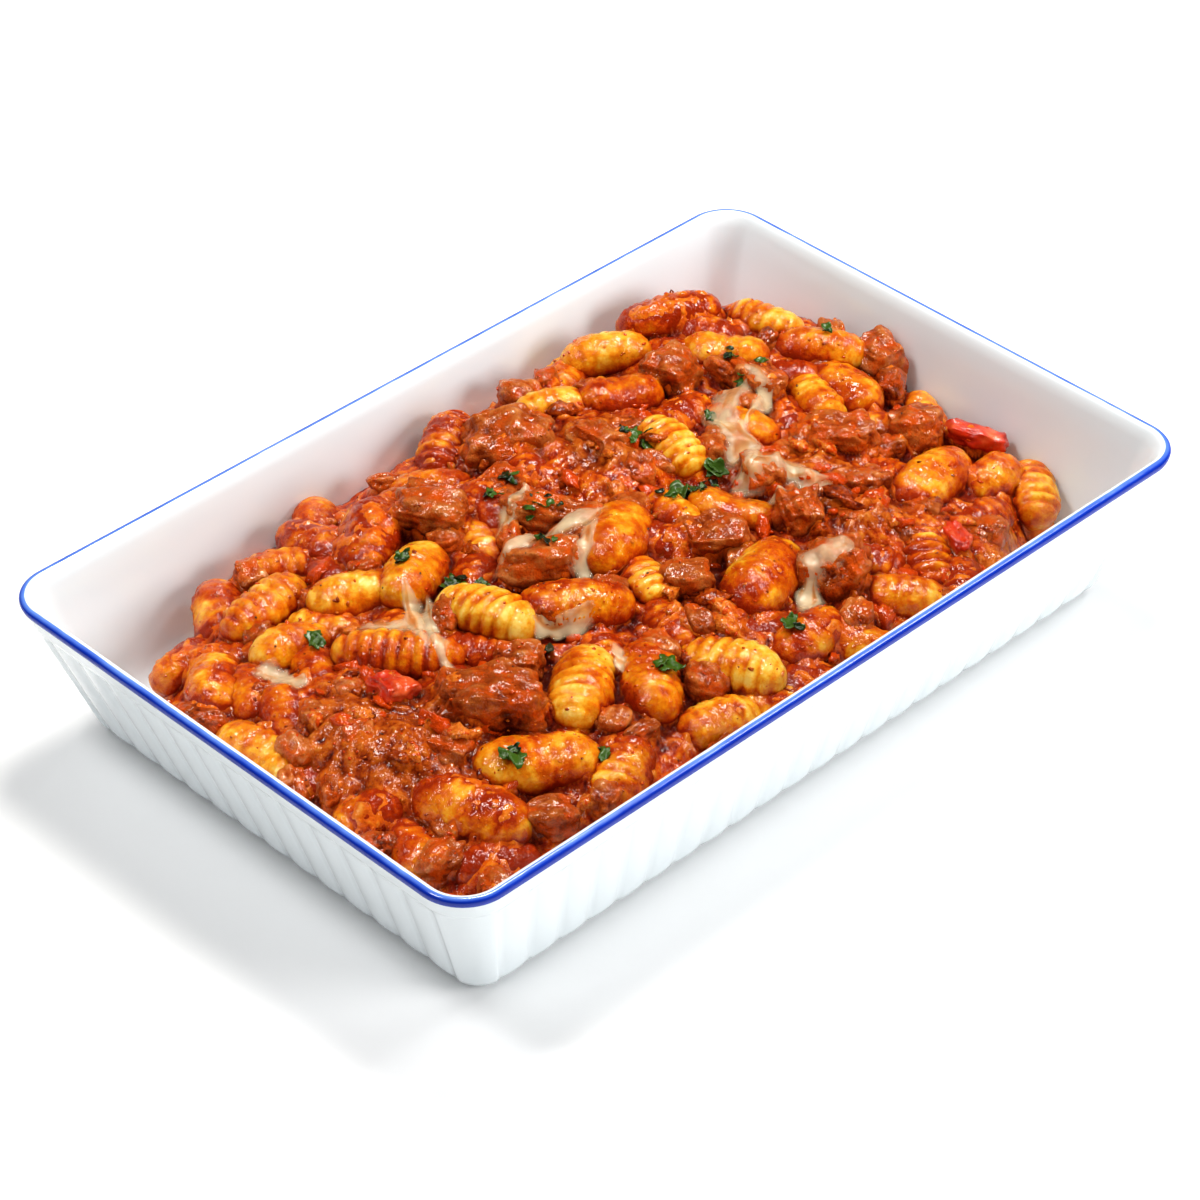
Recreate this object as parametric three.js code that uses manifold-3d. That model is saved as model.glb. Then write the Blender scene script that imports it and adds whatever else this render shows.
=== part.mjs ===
// Potato gnocchi with beef in tomato sauce, in the porcelain baking dish that holds them.
// Millimetres, +Z up. The origin is on the table under the middle of the dish, +X runs
// along its long side and +Y across it.

import * as THREE from 'three';
import { mergeVertices } from 'three/addons/utils/BufferGeometryUtils.js';
import Module from 'manifold-3d';

const wasm = await Module();
wasm.setup();

// ---------------------------------------------------------------------------
// Driving dimensions
// ---------------------------------------------------------------------------

const GAP = 0.35; // clearance between pieces that touch

// Dish, measured over the rim
const DISH_LENGTH = 290;
const DISH_WIDTH = 188;
const DISH_HEIGHT = 50;
const WIDEST = 48.4; // height of the rim's outermost edge
const LEAN_X = 17.5; // how far the end walls lean in from rim to base
const LEAN_Y = 13.5; // the same for the long walls
const CORNER_AT_RIM = 14.5;
const CORNER_AT_BASE = 9;
const SMALLEST_CORNER = 5;
const CORNER_STEPS = 4;
const WALL = 4.4; // wall thickness, measured level
const FLOOR = 5; // top of the dish's floor
const FLUTES_LONG_SIDE = 22;
const FLUTES_SHORT_SIDE = 13;
const FLUTE_DEPTH = 1.2;
const BAND_BOTTOM = 42; // plain band above the flutes

// Height of the tops of the food above the table: a low dome, and where it stands higher
// or lower than that. Each swell fades in between two places along x and along y.
const HEAP_EDGE = 34;
const HEAP_CROWN = 12;
const HEAP_REACH_X = 142;
const HEAP_REACH_Y = 92;
const HEAP_SWELLS = [
  { height: 7, x: [-70, 50], y: [-10, 60] }, // the far side, towards the right
  { height: 4, x: [60, 130], y: [-20, 20] }, // the right end
  { height: -5, x: [-60, -120], y: [20, 70] }, // the far left corner
  { height: -4, x: [60, 130], y: [-15, -55] }, // the near right corner
];

const PIECE_DEPTH = 9; // how far the sauce lies below the tops of the pieces
const BANK_DROP = 6; // how far the sauce falls along the walls
const BANK_START = 0.8; // where it begins to fall, as a share of the way to the wall
const BANK_REACH_X = 137;
const BANK_REACH_Y = 87;
// In two corners the sauce runs out on the dish's floor. A corner is given by its signs,
// and the fall runs from one to another sum of the shares of the half length and width.
const BARE_CORNERS = [{ x: -1, y: 1 }, { x: 1, y: -1 }];
const BARE_FALL = 30;
const BARE_START = 1.33;
const BARE_END = 1.6;
const BED_COLUMNS = 14;
const BED_ROWS = 9;

// Gnocchi
const GNOCCO_SINK = 7; // its middle lies this far below the heap's top
const GNOCCO_FLATNESS = 0.88; // its height for its width
const GNOCCO_SIDES = 7;
const GNOCCO_BANDS = 6; // every other one is the bottom of a groove
const GNOCCO_GROOVE = 0.07; // groove depth for its radius
const DENT_DEPTH = 0.3; // a finger's dent, for its radius

// Pieces of beef and tomato
const LUMP_SINK = 5;
const LUMP_ROUNDNESS = 0.55; // 0 is a box and 1 a ball
const LUMP_UNEVENNESS = 0.1;

// Parsley
const LEAF_LENGTH = 7;
const LEAF_WIDTH = 4;
const LEAF_THICKNESS = 1;

// ---------------------------------------------------------------------------
// Solids: three.js geometry in, manifold out, and back
// ---------------------------------------------------------------------------

function solidOf(geometry) {
  const bare = geometry.clone();
  bare.deleteAttribute('normal');
  bare.deleteAttribute('uv');
  const merged = mergeVertices(bare, 1e-4);
  return new wasm.Manifold(new wasm.Mesh({
    numProp: 3,
    vertProperties: Float32Array.from(merged.attributes.position.array),
    triVerts: Uint32Array.from(merged.index.array),
  }));
}

function geometryOf(solid) {
  const mesh = solid.getMesh();
  const geometry = new THREE.BufferGeometry();
  geometry.setAttribute('position', new THREE.BufferAttribute(mesh.vertProperties, 3));
  geometry.setIndex(new THREE.BufferAttribute(mesh.triVerts, 1));
  geometry.computeVertexNormals();
  return geometry;
}

// The largest shell of a cut or joined solid: loose scraps are dropped, and a hollow
// that joining has sealed is filled.
function largestShell(solid) {
  const { vertProperties, triVerts } = solid.getMesh();
  const owner = Uint32Array.from({ length: vertProperties.length / 3 }, (_, i) => i);
  const shellOf = (vertex) => {
    let v = vertex;
    while (owner[v] !== v) v = owner[v];
    return v;
  };
  for (let i = 0; i < triVerts.length; i += 3) {
    owner[shellOf(triVerts[i + 1])] = shellOf(triVerts[i]);
    owner[shellOf(triVerts[i + 2])] = shellOf(triVerts[i]);
  }
  const shells = new Map();
  for (let i = 0; i < triVerts.length; i += 3) {
    const shell = shellOf(triVerts[i]);
    if (!shells.has(shell)) shells.set(shell, []);
    shells.get(shell).push(triVerts[i], triVerts[i + 1], triVerts[i + 2]);
  }
  const largest = [...shells.values()].reduce((a, b) => (a.length > b.length ? a : b));
  const geometry = new THREE.BufferGeometry();
  geometry.setAttribute('position', new THREE.BufferAttribute(vertProperties, 3));
  geometry.setIndex(largest);
  return solidOf(geometry);
}

// A seeded random number in -1..1, so that every build is the same.
function randomFrom(seed) {
  let state = seed;
  return () => {
    state = (state * 1664525 + 1013904223) >>> 0;
    return (state / 4294967296) * 2 - 1;
  };
}

function smoothStep(from, to, value) {
  const t = THREE.MathUtils.clamp((value - from) / (to - from), 0, 1);
  return t * t * (3 - 2 * t);
}

// ---------------------------------------------------------------------------
// Dish
// ---------------------------------------------------------------------------

// Stations run counter-clockwise round a rounded rectangle. Each says which way the
// outline faces there, which corner centre it belongs to (-1 to 1 along each side, as a
// point on a straight side slides from one centre to the next), and how much of a
// groove it carries.
function outlineStations(flutesLong, flutesShort) {
  const corners = [[1, -1], [1, 1], [-1, 1], [-1, -1]];
  const stations = [];
  corners.forEach(([sx, sy], i) => {
    const start = (i - 1) * Math.PI / 2;
    for (let j = 0; j <= CORNER_STEPS; j++) {
      const atEnd = j === 0 || j === CORNER_STEPS;
      const angle = start + (j / CORNER_STEPS) * Math.PI / 2;
      stations.push({ angle, slideX: sx, slideY: sy, groove: atEnd ? 1 : 0 });
    }
    const [nx, ny] = corners[(i + 1) % 4];
    const points = 2 * (i % 2 === 0 ? flutesShort : flutesLong);
    for (let k = 1; k < points; k++) {
      const t = k / points;
      stations.push({
        angle: start + Math.PI / 2,
        slideX: sx + (nx - sx) * t,
        slideY: sy + (ny - sy) * t,
        groove: 1 - (k % 2),
      });
    }
  });
  return stations;
}

// The leaning wall's outline at a height, drawn in by a step on every side.
function outlinePoint(station, z, step, groove) {
  const down = 1 - z / WIDEST;
  const halfX = DISH_LENGTH / 2 - LEAN_X * down - step;
  const halfY = DISH_WIDTH / 2 - LEAN_Y * down - step;
  const lean = THREE.MathUtils.lerp(CORNER_AT_RIM, CORNER_AT_BASE, down);
  const radius = Math.max(lean - step, SMALLEST_CORNER);
  const reach = radius - groove * station.groove;
  return new THREE.Vector3(
    station.slideX * (halfX - radius) + reach * Math.cos(station.angle),
    station.slideY * (halfY - radius) + reach * Math.sin(station.angle),
    z,
  );
}

// A closed solid through rings of { z, step, groove }, from the lowest ring up.
function loft(stations, rings) {
  const rows = rings.length - 1;
  const shape = new THREE.CylinderGeometry(1, 1, 1, stations.length, rows);
  const position = shape.attributes.position;
  for (let i = 0; i < position.count; i++) {
    const x = position.getX(i);
    const y = position.getZ(i);
    const ring = rings[Math.round((0.5 + position.getY(i)) * rows)];
    if (Math.hypot(x, y) < 0.5) {
      position.setXYZ(i, 0, 0, ring.z);
      continue;
    }
    const turn = Math.atan2(x, y) / (2 * Math.PI) + 1;
    const station = stations[Math.round(turn * stations.length) % stations.length];
    position.setXYZ(i, ...outlinePoint(station, ring.z, ring.step, ring.groove ?? 0));
  }
  return solidOf(shape);
}

const plainStations = outlineStations(0, 0);

// The hollow, or the room that the food has in it when drawn in by a clearance.
function hollow(clearance) {
  const inner = WALL + clearance;
  return loft(plainStations, [
    { z: FLOOR + clearance, step: inner + 9 },
    { z: FLOOR + clearance + 1.3, step: inner + 4.2 },
    { z: FLOOR + clearance + 4, step: inner + 1.2 },
    { z: FLOOR + 9, step: inner },
    { z: DISH_HEIGHT - 3.5, step: inner },
    { z: DISH_HEIGHT - 1, step: inner - 0.9 },
    { z: DISH_HEIGHT, step: inner - 1.9 },
    { z: DISH_HEIGHT + 20, step: inner + 6 },
  ]);
}

// A fluted tray on a raised foot ring, under a plain band that ends in a rounded rim.
function dish() {
  const fluted = loft(outlineStations(FLUTES_LONG_SIDE, FLUTES_SHORT_SIDE), [
    { z: 1, step: 10 },
    { z: 0, step: 8.5 },
    { z: 0, step: 4.5 },
    { z: 1.2, step: 1.8, groove: FLUTE_DEPTH * 0.4 },
    { z: 4, step: 0.4, groove: FLUTE_DEPTH },
    { z: BAND_BOTTOM - 3, step: 0.4, groove: FLUTE_DEPTH },
    { z: BAND_BOTTOM + 1, step: 0.4 },
  ]);
  const band = loft(plainStations, [
    { z: BAND_BOTTOM - 0.6, step: 1 },
    { z: BAND_BOTTOM + 0.3, step: 0 },
    { z: WIDEST, step: 0 },
    { z: WIDEST + 1.1, step: 0.6 },
    { z: DISH_HEIGHT, step: 1.6 },
  ]);
  return fluted.add(band).subtract(hollow(0));
}

// ---------------------------------------------------------------------------
// Food
// ---------------------------------------------------------------------------

function heapTop(x, y) {
  const alongX = Math.max(0, 1 - (x / HEAP_REACH_X) ** 2);
  const alongY = Math.max(0, 1 - (y / HEAP_REACH_Y) ** 2);
  return HEAP_SWELLS.reduce((top, swell) => (
    top + swell.height * smoothStep(...swell.x, x) * smoothStep(...swell.y, y)
  ), HEAP_EDGE + HEAP_CROWN * alongX * alongY);
}

// Mounds of minced meat sauce that lie between the gnocchi: x, y, height, radius
const SAUCE_MOUNDS = [
  [-104, -4, 7, 20], [-88, -27, 5, 14], [30, 30, 6, 18], [92, -62, 4, 16], [-2, -44, 4, 14],
  [66, -38, 5, 16], [-50, -56, 3, 12], [70, -14, 5, 18], [-108, -26, 5, 16],
];

// How far the sauce falls towards the walls and in the bare corners.
function sauceFall(x, y) {
  const toWall = Math.max(Math.abs(x) / BANK_REACH_X, Math.abs(y) / BANK_REACH_Y);
  return BARE_CORNERS.reduce((fall, corner) => {
    const toCorner = 2 * (corner.x * x / DISH_LENGTH + corner.y * y / DISH_WIDTH);
    return fall + BARE_FALL * smoothStep(BARE_START, BARE_END, toCorner);
  }, BANK_DROP * smoothStep(BANK_START, 1, toWall));
}

function sauceTop(x, y) {
  const mounds = SAUCE_MOUNDS.reduce((sum, [mx, my, height, radius]) => (
    sum + height * Math.exp(-((x - mx) ** 2 + (y - my) ** 2) / radius ** 2)
  ), 0);
  return heapTop(x, y) - PIECE_DEPTH + mounds - sauceFall(x, y);
}

// The bed of sauce: a block with an uneven top, trimmed later to the dish's hollow.
function sauceBed() {
  const block = new THREE.BoxGeometry(DISH_LENGTH, DISH_WIDTH, 2, BED_COLUMNS, BED_ROWS, 1);
  const position = block.attributes.position;
  for (let i = 0; i < position.count; i++) {
    const x = position.getX(i);
    const y = position.getY(i);
    position.setZ(i, position.getZ(i) > 0 ? sauceTop(x, y) : 0);
  }
  return solidOf(block);
}

// Gnocchi: x, y, turn of the long axis in degrees, length, width, extra sink, dent.
// They lie where they show on the heap, from the far end of the dish to the near one.
const GNOCCHI = [
  [95, 70, 153, 34, 17, 0, 0], [67, 69, 150, 29, 17, 0, 0], [92, 43, 127, 28, 16, 1, 0],
  [36, 59, 150, 26, 16, 2, 0], [53, 49, 144, 27, 17, 1, 1], [46, 20, 78, 28, 16, 0, 0],
  [115, 48, 100, 26, 15, 2, 0], [116, 26, 127, 30, 16, 0, 0], [109, 9, 87, 28, 17, 1, 0],
  [98, 11, 69, 26, 16, 2, 0], [96, -37, 8, 35, 18, 0, 0], [114, -45, 0, 24, 17, 1, 0],
  [122, -55, 49, 27, 15, 2, 0], [69, -60, 56, 28, 16, 3, 0], [51, -67, 131, 28, 16, 3, 0],
  [40, -11, 114, 29, 15, 2, 1], [25, 0, 85, 27, 15, 3, 0], [3, 0, 28, 34, 19, 0, 0],
  [22, -40, 20, 36, 20, 0, 0], [16, -63, 7, 28, 17, 2, 0], [-11, -59, 112, 33, 18, 0, 0],
  [-12, 36, 76, 28, 16, 2, 0], [3, 72, 32, 30, 16, 1, 0], [-14, 60, 142, 26, 15, 3, 0],
  [-44, 53, 41, 34, 19, 0, 0], [-54, 66, 89, 26, 16, 1, 0], [-48, 30, 26, 30, 18, 0, 0],
  [-46, 2, 104, 32, 19, 0, 0], [-26, -13, 137, 34, 18, 0, 0], [-74, 8, 128, 38, 17, 0, 0],
  [-48, -38, 37, 34, 19, 0, 0], [-31, -48, 50, 35, 18, 1, 0], [-76, -50, 145, 36, 20, 0, 1],
  [-101, -51, 105, 36, 20, 0, 0], [-60, -66, 30, 32, 17, 2, 0], [-27, -70, 168, 26, 16, 2, 0],
  [-120, -31, 170, 22, 15, 1, 0], [-119, -47, 65, 24, 14, 3, 0], [-107, -66, 154, 26, 15, 4, 0],
  [-83, 54, 8, 32, 17, 0, 0], [-65, 66, 147, 26, 15, 2, 0], [-90, 66, 54, 29, 16, 2, 0],
  [-64, 37, 149, 28, 17, 1, 0], [-113, 40, 47, 27, 17, 1, 0], [-109, 58, 10, 24, 15, 3, 0],
  [-123, 9, 93, 30, 16, 2, 0], [-110, 14, 62, 28, 15, 2, 0], [-90, 35, 173, 26, 16, 1, 0],
  [-3, -17, 75, 24, 15, 2, 0], [125, -9, 63, 22, 12, 3, 0],
  [70, 16, 100, 28, 16, 2, 0], [-109, 30, 55, 24, 14, 2, 0],
];

// One gnocco: a barrel with blunt ends, slightly flattened, with ridges round it and on
// some a finger's dent in the back.
function gnocco([x, y, turn, length, width, sink, dent]) {
  const barrel = new THREE.CylinderGeometry(1, 1, 2, GNOCCO_SIDES, GNOCCO_BANDS);
  const position = barrel.attributes.position;
  for (let i = 0; i < position.count; i++) {
    const along = position.getY(i);
    const band = Math.round((along + 1) / 2 * GNOCCO_BANDS);
    const groove = band % 2 === 0 ? GNOCCO_GROOVE : 0;
    const radius = Math.sqrt(1 - 0.8 * Math.abs(along) ** 2.8) * (1 - groove);
    const up = position.getX(i) * radius;
    const press = dent * DENT_DEPTH * Math.exp(-((along / 0.5) ** 2)) * Math.max(0, up);
    position.setXYZ(
      i,
      along * length / 2,
      position.getZ(i) * radius * width / 2,
      (up - press) * GNOCCO_FLATNESS * width / 2,
    );
  }
  const z = heapTop(x, y) - GNOCCO_SINK - sink;
  barrel.rotateZ(THREE.MathUtils.degToRad(turn));
  barrel.translate(x, y, z);
  return solidOf(barrel);
}

// Pieces of beef: x, y, turn, length, width, height, extra sink
const BEEF = [
  [13, 57, 140, 27, 20, 16, 0], [-26, 45, 120, 23, 19, 15, 0], [71, 46, 100, 19, 17, 14, 0],
  [-4, 20, 115, 31, 15, 13, 0], [-21, 6, 125, 20, 15, 13, 0], [23, -20, 140, 20, 15, 12, 0],
  [50, -27, 60, 16, 15, 14, 0], [40, -51, 35, 20, 20, 17, 0], [110, -18, 130, 17, 16, 14, 0],
  [128, 13, 80, 15, 14, 13, 0], [89, -9, 135, 21, 16, 14, 0], [-72, -27, 130, 30, 21, 17, 0],
  [77, -30, 150, 15, 13, 11, 0], [56, -7, 60, 15, 13, 11, 0], [-91, -31, 110, 14, 12, 10, 0],
  [-88, -68, 150, 15, 13, 11, 2], [30, 34, 90, 18, 14, 11, 0], [-104, -10, 20, 18, 14, 12, 0],
  [88, 25, 70, 20, 14, 12, 0], [5, -27, 140, 15, 12, 10, 1], [-54, -19, 130, 14, 11, 9, 1],
];

// Pieces of tomato, thinner than the beef: x, y, turn, length, width, height, extra sink
const TOMATO = [
  [-88, -5, 80, 11, 9, 6, -4], [124, -31, 120, 20, 8, 6, -2], [80, -62, 60, 16, 7, 6, 0],
];

// A lump between a box and a ball, with uneven corners. Growth makes the room it needs.
function lump([x, y, turn, length, width, height, sink], seed, growth) {
  const random = randomFrom(seed);
  const block = new THREE.BoxGeometry(2, 2, 2, 2, 2, 2);
  const position = block.attributes.position;
  const moved = new Map();
  for (let i = 0; i < position.count; i++) {
    const corner = new THREE.Vector3().fromBufferAttribute(position, i);
    const key = `${corner.x} ${corner.y} ${corner.z}`;
    if (!moved.has(key)) {
      const ball = corner.clone().normalize();
      const point = corner.clone().lerp(ball, LUMP_ROUNDNESS);
      moved.set(key, point.multiplyScalar(1 + LUMP_UNEVENNESS * random()));
    }
    const point = moved.get(key);
    position.setXYZ(
      i,
      point.x * (length / 2 + growth),
      point.y * (width / 2 + growth),
      point.z * (height / 2 + growth),
    );
  }
  block.rotateZ(THREE.MathUtils.degToRad(turn));
  block.translate(x, y, heapTop(x, y) - LUMP_SINK - sink);
  return solidOf(block);
}

// Beef and tomato keep their shape: each is trimmed by those before it, and the heap is
// cut round them all.
function looseLumps(room) {
  const kinds = [['beef', BEEF], ['tomato', TOMATO]];
  const lumps = [];
  kinds.forEach(([kind, list]) => list.forEach((place, i) => {
    const seed = (kind.length + 1) * 1000 + i * 37;
    let solid = lump(place, seed, 0).intersect(room);
    lumps.forEach((other) => { solid = solid.subtract(other.space); });
    lumps.push({
      name: `${kind}_${i + 1}`,
      kind,
      solid: largestShell(solid),
      space: lump(place, seed, 1.3 * GAP),
    });
  }));
  return lumps;
}

// Strips of melted cheese that sag over the pieces: width, thickness and a path of x, y
const CHEESE = [
  { width: 12, thickness: 3, path: [[74, 27], [68, 16], [60, 5], [52, -2]] },
  { width: 7, thickness: 3, path: [[53, -4], [63, -5], [69, -12], [70, -21]] },
  { width: 4, thickness: 2.5, path: [[-57, 25], [-63, 13], [-67, 1], [-68, -11]] },
];

// Leaves of parsley large enough to show: x, y, turn
const PARSLEY = [
  [36, 25, 20], [64, 22, 70], [48, 4, 110], [33, 4, 40], [-43, 18, 80], [-50, 32, 20],
  [-29, -53, 65], [-84, -50, 50], [11, -60, 10], [-86, 29, 90],
];

// A flat bar split along its length, laid along a path and down onto the pieces there.
function strip(path, width, thickness, surfaceAt) {
  const spline = new THREE.CatmullRomCurve3(path.map(([x, y]) => new THREE.Vector3(x, y, 0)));
  const segments = 2 * (path.length - 1);
  const bar = new THREE.BoxGeometry(1, width, thickness, segments, 2, 1);
  const position = bar.attributes.position;
  for (let i = 0; i < position.count; i++) {
    const t = position.getX(i) + 0.5;
    const across = position.getY(i);
    const centre = spline.getPoint(t);
    const heading = spline.getTangent(t);
    const narrow = 1 - 0.6 * Math.abs(2 * t - 1) ** 3;
    const x = centre.x - heading.y * across * narrow;
    const y = centre.y + heading.x * across * narrow;
    const rounding = 1 - 0.45 * Math.abs(2 * across / width);
    position.setXYZ(i, x, y, surfaceAt(centre.x, centre.y) + position.getZ(i) * rounding);
  }
  return solidOf(bar);
}

// A wavy leaf pressed into what it lies on.
function leaf([x, y, turn], surfaceAt) {
  const blade = new THREE.BoxGeometry(LEAF_LENGTH, LEAF_WIDTH, LEAF_THICKNESS, 3, 1, 1);
  const position = blade.attributes.position;
  for (let i = 0; i < position.count; i++) {
    const along = position.getX(i);
    const taper = 1 - 0.6 * Math.abs(along) / LEAF_LENGTH;
    const wave = LEAF_THICKNESS / 2 * Math.sin(along * 1.4);
    position.setXYZ(i, along, position.getY(i) * taper, position.getZ(i) + wave);
  }
  blade.rotateZ(THREE.MathUtils.degToRad(turn));
  blade.translate(x, y, surfaceAt(x, y) + 0.2);
  return solidOf(blade);
}

// Gnocchi joined to the bed of sauce, with the cheese and parsley that lie on them.
function heap(room, lumps) {
  let solid = sauceBed();
  GNOCCHI.forEach((place) => { solid = solid.add(gnocco(place)); });

  const seen = new THREE.Mesh(geometryOf(solid));
  const down = new THREE.Vector3(0, 0, -1);
  const surfaceAt = (x, y) => {
    const ray = new THREE.Raycaster(new THREE.Vector3(x, y, 2 * DISH_HEIGHT), down);
    return ray.intersectObject(seen)[0].point.z;
  };
  CHEESE.forEach(({ path, width, thickness }) => {
    solid = solid.add(strip(path, width, thickness, surfaceAt));
  });
  PARSLEY.forEach((place) => { solid = solid.add(leaf(place, surfaceAt)); });

  solid = solid.intersect(room);
  lumps.forEach((other) => { solid = solid.subtract(other.space); });
  return largestShell(solid);
}

// ---------------------------------------------------------------------------
// Scene graph
// ---------------------------------------------------------------------------

const MATERIALS = {
  porcelain: new THREE.MeshStandardMaterial({ color: 0xe6e8ea, roughness: 0.15, metalness: 0 }),
  gnocchi: new THREE.MeshStandardMaterial({ color: 0xe07a2a, roughness: 0.35, metalness: 0 }),
  beef: new THREE.MeshStandardMaterial({ color: 0x8a4a2c, roughness: 0.4, metalness: 0 }),
  tomato: new THREE.MeshStandardMaterial({ color: 0xc8281c, roughness: 0.3, metalness: 0 }),
};

const part = new THREE.Group();

function place(name, solid, material) {
  const mesh = new THREE.Mesh(geometryOf(solid), material);
  mesh.name = name;
  part.add(mesh);
}

const room = hollow(GAP);
const lumps = looseLumps(room);

place('dish', dish(), MATERIALS.porcelain);
place('gnocchi_heap', heap(room, lumps), MATERIALS.gnocchi);
lumps.forEach(({ name, kind, solid }) => place(name, solid, MATERIALS[kind]));

export default part;
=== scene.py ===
# %% [markdown]
# # Potato gnocchi baked in their dish
#
# A rectangular porcelain dish with fluted sides and a blue line on its rim holds potato
# gnocchi in a thick tomato sauce with beef, under strings of melted cheese and chopped
# parsley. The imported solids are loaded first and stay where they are. Each piece made
# here then takes the place of the solids that it names, in the same frame: metres, +Z
# up, the table at zero, the middle of the dish at the origin.

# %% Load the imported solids
import math
import random

import bmesh
import bpy
import numpy as np
from mathutils import Matrix, Vector, noise
from mathutils.bvhtree import BVHTree


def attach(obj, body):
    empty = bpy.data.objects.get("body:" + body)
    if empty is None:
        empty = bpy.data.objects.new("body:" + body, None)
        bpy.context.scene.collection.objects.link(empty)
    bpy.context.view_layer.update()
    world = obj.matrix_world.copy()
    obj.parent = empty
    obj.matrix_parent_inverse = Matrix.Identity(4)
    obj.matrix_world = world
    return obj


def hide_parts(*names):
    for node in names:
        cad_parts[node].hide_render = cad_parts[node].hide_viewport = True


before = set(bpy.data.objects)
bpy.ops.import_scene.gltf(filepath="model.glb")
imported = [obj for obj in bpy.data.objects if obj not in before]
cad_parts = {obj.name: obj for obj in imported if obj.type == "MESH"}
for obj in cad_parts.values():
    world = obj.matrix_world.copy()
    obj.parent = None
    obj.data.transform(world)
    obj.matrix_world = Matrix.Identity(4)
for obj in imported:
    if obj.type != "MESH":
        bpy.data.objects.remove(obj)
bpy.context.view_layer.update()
MM = 0.001

# %% [markdown]
# ## Camera, floor and light
#
# The dish is seen from over its near left corner with a long lens. A long lens from far
# away keeps the rim's far side almost as wide as its near side. The floor is a plain
# pale sheet, and light comes from wide soft boxes, because wet sauce and glaze show the
# shape of whatever lights them. Soft boxes are made as area lights: their size sets how
# soft the shadows are, and how large the shine is on each gnocco.

# %% Place the camera
AZIMUTH, ELEVATION = math.radians(-44.575), math.radians(37.83)
SENSOR, LENS = 36.0, 122.07  # in millimetres
CAMERA_PLACE = (-0.6509, -0.6571, 0.7380)

toward_camera = Vector((
    math.sin(AZIMUTH) * math.cos(ELEVATION),
    -math.cos(AZIMUTH) * math.cos(ELEVATION),
    math.sin(ELEVATION),
))
camera = bpy.data.objects.new("camera", bpy.data.cameras.new("camera"))
bpy.context.scene.collection.objects.link(camera)
camera.data.sensor_width, camera.data.lens = SENSOR, LENS
camera.location = CAMERA_PLACE
camera.rotation_mode = "QUATERNION"
camera.rotation_quaternion = (-toward_camera).to_track_quat("-Z", "Y")
bpy.context.scene.camera = camera
print("camera distance in mm:", round(camera.location.length / MM))


# %% Helpers for colours and shader nodes
def colour(code):
    """An sRGB colour such as "F2C14E" as linear red, green, blue and alpha."""
    parts = [int(code[i:i + 2], 16) / 255 for i in (0, 2, 4)]
    return [c / 12.92 if c <= 0.04045 else ((c + 0.055) / 1.055) ** 2.4 for c in parts] + [1.0]


def add_node(tree, kind, inputs=None, stops=None, out=0, **settings):
    """Adds a node and returns an output: inputs are values or links, stops a ramp's colours."""
    made = tree.nodes.new("ShaderNode" + kind)
    for name, value in settings.items():
        setattr(made, name, value)
    for name, value in (inputs or {}).items():
        if isinstance(value, bpy.types.NodeSocket):
            tree.links.new(value, made.inputs[name])
        else:
            made.inputs[name].default_value = value
    for i, (place, code) in enumerate(stops or []):
        element = made.color_ramp.elements[i] if i < 2 else made.color_ramp.elements.new(place)
        element.position, element.color = place, colour(code)
    return made.outputs[out] if made.outputs else None


def new_material(name):
    """An empty node material and the tree that it is built in."""
    material = bpy.data.materials.new(name)
    material.use_nodes = True
    material.node_tree.nodes.clear()
    return material, material.node_tree


def finish_material(tree, inputs):
    """Adds the main shader with its inputs, and links it to the material's output."""
    add_node(tree, "OutputMaterial", {"Surface": add_node(tree, "BsdfPrincipled", inputs)})


def scale_of(grains):
    """The scale of a noise that has so many grains in 10 mm."""
    return grains / (10 * MM)


# %% Lay the floor
FLOOR_HALF = 3.0  # in metres


def as_mesh(bm, name):
    """Turns a finished bmesh into a mesh and lets go of it."""
    mesh = bpy.data.meshes.new(name)
    bm.to_mesh(mesh)
    bm.free()
    return mesh


sheet = bmesh.new()
bmesh.ops.create_grid(sheet, x_segments=1, y_segments=1, size=FLOOR_HALF)
floor = bpy.data.objects.new("floor", as_mesh(sheet, "floor"))
bpy.context.scene.collection.objects.link(floor)
paper, tree = new_material("matt_white_paper")
finish_material(tree, {"Base Color": colour("F8F8F8"), "Roughness": 0.9, "Specular IOR Level": 0.1})
floor.data.materials.append(paper)
print("floor:", 2 * FLOOR_HALF, "m wide")


# %% Hang the soft boxes
AMBIENT = 0.13  # strength of the even light of the room


def soft_box(name, place, size, watts, tint, shines):
    """A square area light that faces the middle of the dish and may show in the gloss."""
    lamp = bpy.data.objects.new(name, bpy.data.lights.new(name, "AREA"))
    bpy.context.scene.collection.objects.link(lamp)
    lamp.data.shape, lamp.data.size = "SQUARE", size
    lamp.data.energy, lamp.data.color = watts, colour(tint)[:3]
    lamp.location = place
    lamp.rotation_mode = "QUATERNION"
    lamp.rotation_quaternion = (-Vector(place)).to_track_quat("-Z", "Y")
    lamp.visible_glossy = shines


soft_box("key_box", (0.34, 0.26, 1.0), 0.3, 7.5, "FFFCF6", True)
soft_box("top_box", (-0.4, 0.3, 0.95), 0.22, 3.3, "FFFFFF", True)
soft_box("side_box", (0.65, -0.32, 0.9), 0.25, 2.8, "FFFFFF", True)
soft_box("left_fill", (-0.95, -0.1, 0.85), 0.6, 2.0, "FFFFFF", False)
soft_box("front_fill", (0.55, -1.1, 0.5), 0.6, 9.4, "FFFFFF", False)

world = bpy.data.worlds.new("studio")
bpy.context.scene.world = world
world.use_nodes = True
background = world.node_tree.nodes["Background"]
background.inputs["Color"].default_value = colour("FFFFFF")
background.inputs["Strength"].default_value = AMBIENT
world.cycles_visibility.glossy = False
bpy.context.scene.view_settings.view_transform = "Standard"
bpy.context.scene.view_settings.look = "Medium High Contrast"

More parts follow.
